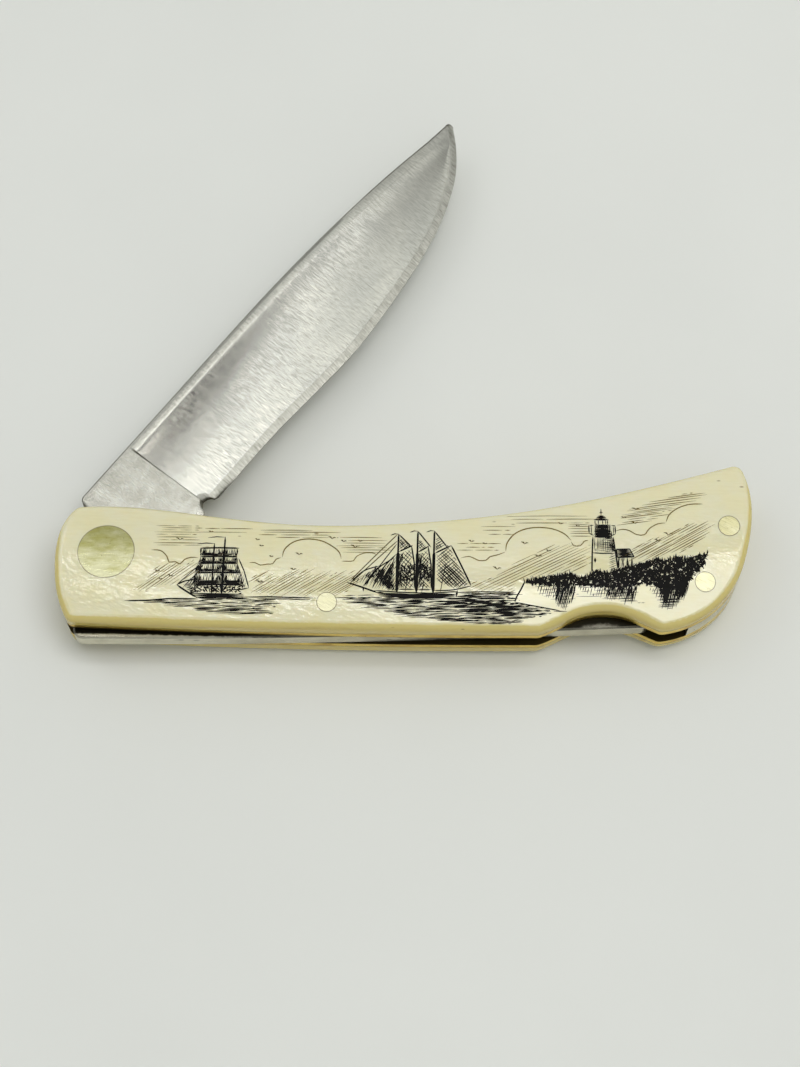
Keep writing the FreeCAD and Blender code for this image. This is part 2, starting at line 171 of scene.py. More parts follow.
def add_world():
    """Pale room, a little brighter low down, with the ceiling's soft patches that the metal mirrors."""
    world = bpy.data.worlds.new("studio")
    world.use_nodes = True
    nodes, links = world.node_tree.nodes, world.node_tree.links

    def step(source, low, high, out_low, out_high):
        ramp = nodes.new("ShaderNodeMapRange")
        ramp.interpolation_type = "SMOOTHSTEP"
        links.new(source, ramp.inputs["Value"])
        for key, value in zip(("From Min", "From Max", "To Min", "To Max"), (low, high, out_low, out_high)):
            ramp.inputs[key].default_value = value
        return ramp.outputs["Result"]

    sky = nodes.new("ShaderNodeTexCoord").outputs["Generated"]
    split = nodes.new("ShaderNodeSeparateXYZ")
    links.new(sky, split.inputs[0])
    level = step(split.outputs["Z"], WORLD_Z[0], WORLD_Z[1], WORLD_LOW, WORLD_HIGH)
    for x, y, strength in PATCHES:
        dot = nodes.new("ShaderNodeVectorMath")
        dot.operation = "DOT_PRODUCT"
        links.new(sky, dot.inputs[0])
        dot.inputs[1].default_value = (x, y, math.sqrt(1 - x * x - y * y))
        total = nodes.new("ShaderNodeMath")
        total.operation = "ADD"
        links.new(level, total.inputs[0])
        rim = math.cos(math.radians(PATCH_RADIUS))
        links.new(step(dot.outputs["Value"], rim, 1.0, 0.0, strength), total.inputs[1])
        level = total.outputs[0]
    background = nodes["Background"]
    background.inputs["Color"].default_value = srgb(251, 253, 250)
    links.new(level, background.inputs["Strength"])
    bpy.context.scene.world = world


def to_scene(name, data):
    obj = bpy.data.objects.new(name, data)
    bpy.context.scene.collection.objects.link(obj)
    return obj


def new_mesh(name, points, faces):
    """Object whose mesh has these points, in millimetres."""
    mesh = bpy.data.meshes.new(name)
    mesh.from_pydata([(x * MM, y * MM, z * MM) for x, y, z in points], [], faces)
    mesh.validate()
    mesh.update()
    return to_scene(name, mesh)


def fix_normals(mesh, weld=0.0):
    """Turns every face outwards, after joining points that lie closer together than weld."""
    bm = bmesh.new()
    bm.from_mesh(mesh)
    if weld:
        bmesh.ops.remove_doubles(bm, verts=bm.verts, dist=weld)
        bmesh.ops.dissolve_degenerate(bm, edges=bm.edges, dist=weld / 2)
    bmesh.ops.recalc_face_normals(bm, faces=bm.faces)
    bm.to_mesh(mesh)
    bm.free()


def ring_faces(rings, size):
    """Faces of a closed tube through this many rings of size points each, with a cap at both ends."""
    faces = []
    for r in range(rings - 1):
        a, b = r * size, (r + 1) * size
        for i in range(size):
            j = (i + 1) % size
            faces.append((a + i, a + j, b + j, b + i))
    faces.append(tuple(reversed(range(size))))
    faces.append(tuple(range((rings - 1) * size, rings * size)))
    return faces


def blade_to_part(points):
    """Points given as U, V and the distance from the blade's mid-plane, in the part's axes."""
    c, s = math.cos(BLADE_ANGLE), math.sin(BLADE_ANGLE)
    return [(u * c - v * s, u * s + v * c, w + Z_MID) for u, v, w in points]


# ------------------------------------------------------------------ materials

class Graph:
    """A material and short calls that add shader nodes to it."""

    def __init__(self, name):
        self.material = bpy.data.materials.new(name)
        self.material.use_nodes = True
        self.tree = self.material.node_tree
        self.shader = self.tree.nodes["Principled BSDF"]

    def add(self, kind, inputs=None, **settings):
        node = self.tree.nodes.new(kind)
        for key, value in settings.items():
            setattr(node, key, value)
        for key, value in (inputs or {}).items():
            self.feed(node.inputs[key], value)
        return node

    def feed(self, socket, value):
        if isinstance(value, bpy.types.NodeSocket):
            self.tree.links.new(value, socket)
        else:
            socket.default_value = value

    def set(self, **values):
        for key, value in values.items():
            self.feed(self.shader.inputs[key.replace("_", " ")], value)

    def place(self, scale, turn=0.0):
        """Position on the piece in millimetres, turned about Z and then scaled along each axis."""
        texture = self.add("ShaderNodeTexCoord")
        turned = self.add("ShaderNodeMapping", {
            "Vector": texture.outputs["Object"],
            "Rotation": (0.0, 0.0, turn),
            "Scale": (1000.0, 1000.0, 1000.0),
        })
        scaled = self.add("ShaderNodeMapping", {"Vector": turned.outputs[0], "Scale": scale})
        return scaled.outputs[0]

    def noise(self, place, scale, detail=4.0, roughness=0.55, distortion=0.0):
        node = self.add("ShaderNodeTexNoise", {
            "Vector": place, "Scale": scale, "Detail": detail, "Roughness": roughness,
            "Distortion": distortion,
        })
        return node.outputs["Fac"]

    def math(self, operation, a, b=0.0, clamp=False):
        return self.add("ShaderNodeMath", {0: a, 1: b}, operation=operation, use_clamp=clamp).outputs[0]

    def between(self, value, low, high, out_low=0.0, out_high=1.0):
        node = self.add("ShaderNodeMapRange", {
            "Value": value, "From Min": low, "From Max": high, "To Min": out_low, "To Max": out_high,
        }, interpolation_type="SMOOTHSTEP")
        return node.outputs["Result"]

    def mix(self, share, a, b, blend="MIX"):
        node = self.add("ShaderNodeMix", data_type="RGBA", blend_type=blend)
        self.feed(node.inputs["Factor"], share)
        self.feed(node.inputs[6], a)
        self.feed(node.inputs[7], b)
        return node.outputs[2]

    def bump(self, height, strength, distance, below=None):
        inputs = {"Height": height, "Strength": strength, "Distance": distance * MM}
        if below is not None:
            inputs["Normal"] = below
        return self.add("ShaderNodeBump", inputs).outputs["Normal"]

    def eased(self, radius):
        """Normal that rounds off sharp edges by this radius."""
        return self.add("ShaderNodeBevel", {"Radius": radius * MM}, samples=4).outputs[0]

    def uneven(self, value, noise, amount):
        """value, moved up and down by a noise around its middle."""
        return self.math("ADD", value, self.math("MULTIPLY", self.math("SUBTRACT", noise, 0.5), amount))

    def axis(self, place, name):
        return self.add("ShaderNodeSeparateXYZ", {"Vector": place}).outputs[name]


def bone_material():
    """Polished bone: cream faces, ochre towards the edges (partly aged bone, partly painted shade that is
    strongest on edges facing -Y), long grain, pores, and stained seams.
    """
    g = Graph("polished_bone")
    here = g.place((1.0, 1.0, 1.0))
    along = g.place((0.12, 1.0, 1.0))
    normal = g.add("ShaderNodeTexCoord").outputs["Normal"]
    upright = g.math("ABSOLUTE", g.axis(normal, "Z"))
    mottle = g.noise(here, 0.18, 3.0)
    grain = g.noise(along, 2.6, 6.0, 0.62)
    # Painted shade mixed with ageing: the ochre grows as the face tilts away from the flat top, most on edges
    # facing -Y.
    tilt = g.uneven(g.math("SUBTRACT", 1.0, upright), mottle, 0.12)
    tilt = g.math("MULTIPLY", tilt, g.between(g.axis(normal, "Y"), -0.2, 0.3, 1.0, 0.25))
    cream = g.mix(g.between(mottle, 0.35, 0.65), srgb(233, 229, 197), srgb(234, 228, 188))
    cream = g.mix(g.between(grain, 0.35, 0.72, 0.0, 0.35), cream, srgb(224, 216, 172))
    warm = g.mix(g.between(tilt, 0.015, 0.16), cream, srgb(212, 197, 124))
    aged_and_shaded = g.mix(g.between(tilt, 0.20, 0.80), warm, srgb(206, 187, 110))
    stain = g.between(g.noise(along, 0.5, 5.0, 0.6), 0.52, 0.72)
    stain = g.math("MULTIPLY", stain, g.between(tilt, 0.25, 0.7))
    aged_and_shaded = g.mix(g.math("MULTIPLY", stain, 0.55), aged_and_shaded, srgb(158, 128, 62))
    cells = g.add("ShaderNodeTexVoronoi", {"Vector": g.place((0.33, 0.8, 0.8)), "Scale": 0.42})
    pore = g.between(cells.outputs["Distance"], 0.03, 0.07, 1.0, 0.0)
    pore = g.math("MULTIPLY", pore, g.between(mottle, 0.42, 0.5))
    aged_and_shaded = g.mix(g.math("MULTIPLY", pore, 0.7), aged_and_shaded, srgb(120, 96, 50))
    seam = ring_mask(g, here)
    height = g.axis(here, "Z")
    for z in SCALE_JOINTS:
        gap = g.math("ABSOLUTE", g.math("SUBTRACT", height, z))
        seam = g.math("MAXIMUM", seam, g.between(gap, 0.05, 0.22, 0.85, 0.0))
    colour = g.mix(seam, aged_and_shaded, srgb(84, 66, 30))
    ripple = g.noise(g.place((0.8, 1.5, 1.0), 0.35), 1.0, 2.0, 0.45)
    bump = g.bump(ripple, 1.0, 0.04)
    bump = g.bump(grain, 0.25, 0.006, bump)
    bump = g.bump(g.math("ADD", pore, seam), -0.6, 0.03, bump)
    gloss = g.between(g.noise(along, 1.2, 4.0), 0.3, 0.75, 0.04, 0.09)
    g.set(Base_Color=colour, Roughness=gloss, Normal=bump)
    g.set(IOR=1.53, Specular_IOR_Level=0.55)
    g.set(Subsurface_Weight=0.22, Subsurface_Radius=(1.0, 0.72, 0.38), Subsurface_Scale=0.0012)
    return g.material


def ring_mask(g, here):
    """1 on the thin seam round each pin and collar, fading to 0 beside it."""
    seam = 0.0
    for x, y, radius in PINS:
        flat = g.add("ShaderNodeVectorMath", {0: here, 1: (1.0, 1.0, 0.0)}, operation="MULTIPLY")
        reach = g.add("ShaderNodeVectorMath", {0: flat.outputs[0], 1: (x, y, 0.0)}, operation="DISTANCE")
        off = g.math("ABSOLUTE", g.math("SUBTRACT", reach.outputs["Value"], radius + 0.02))
        seam = g.math("MAXIMUM", seam, g.between(off, 0.04, 0.16, 0.75, 0.0))
    return seam


def pin_material(name, turn, bright, dull, rough):
    """Pale pin metal, filed flush with the scale and then brushed, with a painted reflection: lighter low in
    Y, darker high in Y.
    """
    g = Graph(name)
    here = g.place((1.0, 1.0, 1.0))
    brush = g.noise(g.place((0.35, 5.0, 1.0), turn), 1.6, 6.0, 0.7)
    cloud = g.noise(g.place((0.45, 1.0, 1.0)), 0.55, 3.0)
    # Painted reflection: lighter towards -Y and darker towards +Y, on top of the metal's cloudy mottling.
    cloud_and_sheen = g.math("ADD", cloud, g.between(g.axis(here, "Y"), -4.5, 3.5, -0.18, 0.14))
    colour = g.mix(g.between(cloud_and_sheen, 0.28, 0.76), bright, dull)
    colour = g.mix(g.between(brush, 0.45, 0.75, 0.0, 0.45), colour, srgb(150, 146, 100))
    pits = g.between(g.noise(here, 3.5, 3.0), 0.62, 0.74)
    colour = g.mix(g.math("MULTIPLY", pits, 0.4), colour, srgb(110, 102, 58))
    bump = g.bump(brush, 0.5, 0.008)
    bump = g.bump(pits, -0.5, 0.01, bump)
    bump = g.bump(cloud, 0.35, 0.03, bump)
    g.set(Base_Color=colour, Roughness=g.between(brush, 0.3, 0.7, rough[0], rough[1]), Normal=bump)
    g.set(Metallic=1.0)
    return g.material


def well_shade_mask(g, here):
    """1 on the faces that close in the blade well, painted near black as shade in the deep slot."""
    off = g.math("ABSOLUTE", g.math("SUBTRACT", g.axis(here, "Z"), Z_MID))
    return g.between(off, WELL_HALF, WELL_HALF + 0.05, 0.96, 0.0)


def brass_material():
    """Liner brass: rubbed bright, with brown tarnish and sanding marks along the handle, and painted shade:
    near black in the blade well and along part of the front liner's outer edge.
    """
    g = Graph("liner_brass")
    here = g.place((1.0, 1.0, 1.0))
    brush = g.noise(g.place((0.10, 2.2, 3.5)), 2.4, 6.0, 0.68)
    cloud = g.noise(g.place((0.5, 0.8, 0.8)), 0.5, 4.0, 0.6)
    colour = g.mix(g.between(cloud, 0.38, 0.66), srgb(236, 210, 112), srgb(204, 172, 80))
    colour = g.mix(g.between(brush, 0.5, 0.78, 0.0, 0.6), colour, srgb(140, 112, 52))
    spots = g.between(g.noise(here, 1.7, 4.0, 0.65), 0.64, 0.74)
    colour = g.mix(g.math("MULTIPLY", spots, 0.7), colour, srgb(92, 70, 30))
    # Painted shade along the front liner's outer edge, under the scale's overhang.
    rim_shade = g.math("MULTIPLY", g.between(g.axis(here, "Z"), *LINER_SHADE_HIGH_Z, 0.9, 0.0),
                  g.between(g.axis(here, "X"), *LINER_SHADE_X, 1.0, 0.0))
    rim_shade = g.math("MULTIPLY", rim_shade, g.between(g.axis(here, "Y"), *LINER_SHADE_Y, 1.0, 0.0))
    rim_shade = g.math("MULTIPLY", rim_shade, g.between(g.axis(here, "Z"), *LINER_SHADE_LOW_Z))
    # Both masks paint shade: the blade well and this part of the liner's edge go near black.
    inner = g.math("MAXIMUM", well_shade_mask(g, here), rim_shade)
    colour = g.mix(inner, colour, g.mix(cloud, srgb(26, 21, 12), srgb(40, 33, 20)))
    bump = g.bump(brush, 0.5, 0.012, g.eased(0.12))
    bump = g.bump(spots, -0.5, 0.015, bump)
    bump = g.bump(cloud, 0.2, 0.02, bump)
    rough = g.between(brush, 0.3, 0.7, 0.3, 0.48)
    g.set(Base_Color=colour, Roughness=g.math("ADD", rough, g.math("MULTIPLY", inner, 0.3)), Normal=bump)
    g.set(Metallic=1.0)
    return g.material


def side_shadow(g):
    """1 where the upper side of the lock bar is painted black as shadow: along the liner, and under the rim
    of the notch.
    """
    here = g.place((1.0, 1.0, 1.0))
    across, up = g.axis(here, "X"), g.axis(here, "Y")
    squeezed = g.math("MULTIPLY", g.math("SUBTRACT", across, NOTCH_DARK[0]), NOTCH_DARK[2])
    rise = g.math("SUBTRACT", up, NOTCH_DARK[1])
    square = g.math("ADD", g.math("MULTIPLY", squeezed, squeezed), g.math("MULTIPLY", rise, rise))
    ragged = g.uneven(g.math("SQRT", square), g.noise(here, 1.6, 4.0, 0.6), 0.9)
    inner = g.uneven(up, g.noise(here, 1.2, 4.0, 0.6), 0.5)
    inner = g.math("MULTIPLY", g.between(inner, *LINER_DARK_Y), g.between(across, *BAR_FRONT_X, 1.0, 0.0))
    rim = g.math("MULTIPLY", g.between(ragged, *NOTCH_DARK[3]), g.between(across, *NOTCH_DARK_X))
    return g.math("MAXIMUM", rim, inner)


def steel_material(name, turn, brush_scale, tint, dark, scratch=0.5, rough=(0.2, 0.38), edge=0.0):
    """Brushed steel; the brush lines lie across the turned X axis, and brush_scale says how fine they are.
    Faces that look along Z are a plainer grey, darker from X 50 to 68 on: partly the steel's duller side
    finish, partly painted shade, with painted black shadow along the liner and under the notch's rim.
    """
    g = Graph(name)
    fine = g.noise(g.place((brush_scale, 0.22, 1.0), turn), 1.0, 7.0, 0.72)
    broad = g.noise(g.place((brush_scale * 0.22, 0.05, 0.3), turn), 1.0, 4.0, 0.6)
    cloud = g.noise(g.place((0.10, 0.16, 0.2), turn), 1.0, 4.0, 0.55)
    line = g.noise(g.place((brush_scale * 0.5, 0.10, 0.5), turn + 0.05), 1.3, 2.0, 0.5, 0.2)
    cut = g.between(line, 0.66, 0.71)
    colour = g.mix(g.between(cloud, 0.3, 0.7), tint, dark)
    colour = g.mix(g.between(fine, 0.35, 0.7, 0.0, 0.35), colour, dark)
    colour = g.mix(g.math("MULTIPLY", cut, scratch), colour, srgb(96, 94, 88))
    upright = g.math("ABSOLUTE", g.axis(g.add("ShaderNodeTexCoord").outputs["Normal"], "Z"))
    across = g.axis(g.place((1.0, 1.0, 1.0)), "X")
    # Painted shade mixed with a duller finish: faces looking along Z turn grey, darker from X 50 to 68 on,
    # and go black where the painted shadow mask says.
    side = g.mix(g.between(across, *BAR_FRONT_X), srgb(176, 173, 156), srgb(118, 116, 106))
    colour = g.mix(g.between(upright, 0.45, 0.80), colour, g.mix(side_shadow(g), side, srgb(26, 25, 20)))
    bump = g.bump(fine, 0.45, 0.010, g.eased(edge) if edge else None)
    bump = g.bump(broad, 0.25, 0.03, bump)
    bump = g.bump(cut, -0.5, 0.01, bump)
    g.set(Base_Color=colour, Roughness=g.between(broad, 0.3, 0.7, rough[0], rough[1]), Normal=bump)
    g.set(Metallic=1.0)
    return g.material


def blade_material():
    """Ground steel: fine lines across the hollow grind, satin tang, and a coarse honed bevel.
    The mesh says where each finish is: its attributes mark the tang, the bevel, and the painted shade in the
    plunge and on the spine's rounded rims together with a darker strip along the edge at the heel."""
    g = Graph("blade_steel")
    turn = -BLADE_ANGLE
    here = g.place((1.0, 1.0, 1.0))
    mask = {name: g.add("ShaderNodeAttribute", attribute_name=name).outputs["Fac"]
            for name in ("tang", "bevel", "shade_and_dark_heel")}
    fine = g.noise(g.place((5.6, 0.62, 1.0), turn), 1.0, 5.0, 0.68)
    broad = g.noise(g.place((0.9, 0.05, 0.3), turn), 1.0, 4.0, 0.6)
    cloud = g.noise(g.place((0.10, 0.16, 0.2), turn), 1.0, 4.0, 0.55)
    satin = g.noise(here, 5.0, 5.0, 0.7)
    wear = g.noise(g.place((0.30, 0.55, 0.4), turn), 1.0, 4.0, 0.6)
    hone = g.noise(g.place((7.0, 0.6, 1.0), turn + 0.10), 1.0, 6.0, 0.75)
    line = g.noise(g.place((2.4, 0.09, 0.5), turn + 0.06), 1.3, 2.0, 0.5, 0.2)
    cut = g.math("MULTIPLY", g.between(line, 0.70, 0.74), g.math("SUBTRACT", 1.0, mask["tang"]))
    colour = g.mix(g.between(cloud, 0.3, 0.7), srgb(224, 223, 213), srgb(208, 208, 200))
    colour = g.mix(g.between(fine, 0.38, 0.66, 0.0, 0.50), colour, srgb(160, 160, 150))
    colour = g.mix(g.math("MULTIPLY", cut, 0.35), colour, srgb(130, 128, 118))
    plain = g.mix(g.between(wear, 0.32, 0.66), srgb(210, 209, 199), srgb(192, 191, 180))
    plain = g.mix(g.between(satin, 0.4, 0.7, 0.0, 0.22), plain, srgb(150, 149, 138))
    colour = g.mix(mask["tang"], colour, plain)
    coarse = g.mix(g.between(hone, 0.36, 0.66), srgb(198, 198, 190), srgb(126, 126, 116))
    colour = g.mix(mask["bevel"], colour, coarse)
    # Painted shade in the plunge and on the spine's rims, and the dark strip along the edge at the heel.
    blot = g.math("MULTIPLY", mask["shade_and_dark_heel"], g.between(satin, 0.25, 0.55, 0.7, 1.0))
    colour = g.mix(blot, colour, srgb(58, 57, 40))
    bump = None
    for height, where, strength, strength_there, distance in (
            (fine, "tang", 0.22, 0.03, 0.010), (broad, "tang", 0.05, 0.0, 0.03),
            (satin, "tang", 0.02, 0.07, 0.006), (wear, "tang", 0.0, 0.03, 0.10),
            (hone, "bevel", 0.0, 0.30, 0.010)):
        bump = g.bump(height, g.between(mask[where], 0.0, 1.0, strength, strength_there), distance, bump)
    bump = g.bump(cut, -0.3, 0.008, bump)
    rough = g.between(fine, 0.3, 0.7, 0.15, 0.22)
    for where, extra in (("tang", 0.07), ("bevel", 0.30), ("shade_and_dark_heel", 0.40)):
        rough = g.math("ADD", rough, g.math("MULTIPLY", mask[where], extra))
    g.set(Base_Color=colour, Roughness=rough, Normal=bump)
    g.set(Metallic=1.0)
    return g.material


def paint_blade(blade):
    """Writes where the tang and the honed bevel are, and where the steel is darkened: painted shade in the
    plunge and on the spine's rounded rims, and a dark strip along the edge at the heel.
    """
    upper, lower = blade_outlines()
    count = len(blade.data.vertices)
    co = np.zeros(count * 3)
    blade.data.vertices.foreach_get("co", co)
    x, y, z = co.reshape(-1, 3).T / MM
    c, s = math.cos(BLADE_ANGLE), math.sin(BLADE_ANGLE)
    u, v = x * c + y * s, -x * s + y * c
    above_edge = v - across(lower, u)
    below_spine = across(upper, u) - v
    side = np.abs(z - Z_MID)

    def fade(value, low, high):
        t = np.clip((value - low) / (high - low), 0, 1)
        return t * t * (3 - 2 * t)

    tang = 1 - fade(u, PLUNGE_U - 0.15, PLUNGE_U + 0.15)
    bevel = (1 - fade(above_edge, BEVEL_W - 0.1, BEVEL_W)) * (1 - tang)
    # Painted shade: the plunge's crease and the spine's rounded rims are darkened; the heel mask darkens the
    # steel along the edge near the choil.
    plunge = (1 - fade(np.abs(u - PLUNGE_U - 0.05), 0.12, 0.24)) * fade(below_spine, 0.3, 1.6) * 0.95
    rim = (1 - fade(below_spine, 0.12, 0.34)) * (side < STEEL_T / 2 - 0.02) * 0.85
    heel = (1 - fade(above_edge, 0.05, 0.5)) * (1 - fade(u, 21.0, 26.0)) * fade(u, 16.5, 17.5) * 0.8
    shade_and_dark_heel = np.maximum(np.maximum(plunge, rim), heel)
    for name, values in (("tang", tang), ("bevel", bevel), ("shade_and_dark_heel", shade_and_dark_heel)):
        layer = blade.data.attributes.new(name, "FLOAT", "POINT")
        layer.data.foreach_set("value", values.astype(np.float32))


def ink_material(name, dark, light):
    """Ink rubbed into the engraved lines, a little uneven."""
    g = Graph(name)
    cloud = g.noise(g.place((1.0, 1.0, 1.0)), 1.6, 4.0, 0.6)
    g.set(Base_Color=g.mix(g.between(cloud, 0.3, 0.75), dark, light))
    g.set(Roughness=g.between(cloud, 0.3, 0.7, 0.45, 0.65), Normal=g.bump(cloud, 0.3, 0.01))
    g.set(Specular_IOR_Level=0.12)
    return g.material


def floor_material():
    g = Graph("pale_floor")
    cloud = g.noise(g.place((1.0, 1.0, 1.0)), 0.012, 3.0)
    g.set(Base_Color=g.mix(g.between(cloud, 0.3, 0.7), srgb(233, 235, 231), srgb(230, 232, 228)))
    g.set(Roughness=0.6, Specular_IOR_Level=0.3)
    return g.material


def dress(obj, material):
    obj.data.materials.clear()
    obj.data.materials.append(material)


# ------------------------------------------------------------------ blade

def spine_v(u):
    fall = max(0.0, (u - SPINE_BEND_U) / (TIP[0] - SPINE_BEND_U))
    return SPINE_V - (SPINE_V - TIP[1]) * fall ** 2


def smooth_line(points, step):
    """Catmull-Rom curve through the points, sampled about every step."""
    ends = [2 * np.array(points[0]) - np.array(points[1])]
    chain = ends + [np.array(p, float) for p in points] + [2 * np.array(points[-1]) - np.array(points[-2])]
    found = []
    for a, b, c, d in zip(chain, chain[1:], chain[2:], chain[3:]):
        count = max(2, int(np.linalg.norm(c - b) / step))
        for i in range(count):
            t = i / count
            found.append(0.5 * (2 * b + (c - a) * t + (2 * a - 5 * b + 4 * c - d) * t ** 2
                                + (3 * b - a - 3 * c + d) * t ** 3))
    found.append(chain[-2])
    return [tuple(p) for p in found]


def polar(radius, angle, turn=0.0):
    return (radius * math.cos(angle + turn), radius * math.sin(angle + turn))


def swing(point, turn):
    return polar(math.hypot(*point), math.atan2(point[1], point[0]), turn)


def round_tip(upper, lower):
    """Both outlines cut back where a circle of TIP_R touches them, and the rest replaced by its arc."""
    reach = 6.0
    spine_dir = np.array((-1.0, 0.14))
    edge_dir = np.array((-0.66, -0.75))
    spine_dir /= np.linalg.norm(spine_dir)
    edge_dir /= np.linalg.norm(edge_dir)
    half = math.acos(float(spine_dir @ edge_dir)) / 2
    middle = (spine_dir + edge_dir) / np.linalg.norm(spine_dir + edge_dir)
    tip = np.array(TIP)
    centre = tip + middle * TIP_R
    corner = tip - middle * (TIP_R / math.sin(half) - TIP_R)
    tangent = TIP_R / math.tan(half)
    a = corner + spine_dir * tangent
    b = corner + edge_dir * tangent

    def moved(points):
        shift = corner - tip
        return [tuple(np.array(p) + shift * max(0.0, 1 - math.dist(p, TIP) / reach)) for p in points]

    up = [p for p in moved(upper) if p[0] < a[0] - 0.1]
    low = [p for p in moved(lower) if p[0] < b[0] - 0.1]
    start = math.atan2(a[1] - centre[1], a[0] - centre[0])
    end = math.atan2(b[1] - centre[1], b[0] - centre[0])
    far = (start + end) / 2
    for i in range(8):
        up.append(tuple(centre + np.array(polar(TIP_R, start + (far - start) * i / 8))))
        low.append(tuple(centre + np.array(polar(TIP_R, end + (far - end) * i / 8))))
    nose = tuple(centre + np.array(polar(TIP_R, far)))
    return up + [nose], low + [nose]


def blade_outlines():
    """Upper and lower outline of the blade in its own axes, each from the back of the tang to the tip."""
    top = []
    for i in range(19):
        top.append(polar(CAM_R, math.radians(180 - 93.2 * i / 18)))
    top += [(0.7, 6.5), (4.58, NOTCH_V)]
    corner_r = 1.0
    lean = math.radians(11.6)
    step_top = (4.58 + (SPINE_V - NOTCH_V) * math.tan(lean), SPINE_V)
    run = corner_r * math.tan((math.pi / 2 - lean) / 2)
    centre = (step_top[0] + run, SPINE_V - corner_r)
    for i in range(11):
        turn = math.pi - lean - (math.pi / 2 - lean) * i / 10
        top.append((centre[0] + corner_r * math.cos(turn), centre[1] + corner_r * math.sin(turn)))
    u = top[-1][0] + 0.5
    while u < TIP[0] - 0.2:
        top.append((u, spine_v(u)))
        u += 0.6
    top.append(TIP)
    low = [(-CAM_R, 0.0)]
    flat_half = math.sqrt(CAM_R ** 2 - TANG_FLAT_V ** 2)
    flat_start = swing((-flat_half, TANG_FLAT_V), -CLOSED_ANGLE)
    first = math.atan2(flat_start[1], flat_start[0])
    for i in range(1, 13):
        low.append(polar(CAM_R, -math.pi + (first + math.pi) * i / 12))
    low.append(swing((-0.75, -6.5), -CLOSED_ANGLE))
    again = math.radians(265.8) - CLOSED_ANGLE - 2 * math.pi
    last = math.atan2(TANG_FLAT_V, flat_half)
    for i in range(13):
        low.append(polar(CAM_R, again + (last - again) * i / 12))
    low += [(12.3, TANG_FLAT_V), (14.0, KICK_V), (16.1, KICK_V)]
    choil_u, choil_v, choil_r = CHOIL
    for i in range(17):
        turn = math.pi * i / 16
        low.append((choil_u - choil_r * math.cos(turn), choil_v + choil_r * math.sin(turn)))
    low += smooth_line(EDGE, 0.6)[1:]
    return round_tip(top, low)


def across(points, u):
    """v of an outline at each u, the outline running in the direction of growing u."""
    us = np.maximum.accumulate(np.array([p[0] for p in points]) + np.arange(len(points)) * 1e-7)
    return np.interp(u, us, np.array([p[1] for p in points]))


def inward(points, side):
    """Unit normals of an open line, pointing to the side that lies right (+1) or left (-1) of its run."""
    p = np.array(points)
    run = np.gradient(p, axis=0)
    length = np.maximum(np.linalg.norm(run, axis=1), 1e-9)[:, None]
    run = run / length
    return np.stack([run[:, 1], -run[:, 0]], 1) * side



def blade_half(u, v, v_low, v_up):
    """Half thickness of the ground blade at u, v, before the edges of the plate are rounded."""
    full = STEEL_T / 2
    top = v_up - GRIND_BELOW_SPINE
    v_edge = v_low if u > HEEL_U else min(v_low, EDGE[0][1])
    bottom = min(v_edge, top - 1.0) - 0.4
    share = (top - v) / (top - bottom)
    share = min(1.0, (share + math.sqrt(share * share + 4 * GRIND_SOFT ** 2)) / 2)
    hollow = float(np.interp(share, HOLLOW_TABLE[0], HOLLOW_TABLE[1]))
    thin = 1 - POINT_THINNING * (max(0.0, u - TAPER_U) / (TIP[0] - TAPER_U)) ** 1.5
    hollow = max(0.32, hollow * thin)
    ground = min(hollow, EDGE_T + BEVEL_SLOPE * max(0.0, v - v_edge))
    depth = min(1.0, max(0.0, (u - PLUNGE_U + 0.08) / 0.26))
    depth = depth * depth * (3 - 2 * depth)
    return full + (ground - full) * depth, depth


def hollow_table():
    """Half thickness against the share of the way from the grind line to the edge, as a smooth curve."""
    line = smooth_line(HOLLOW, 0.02)
    return np.array([p[0] for p in line]), np.array([p[1] for p in line])


HOLLOW_TABLE = hollow_table()


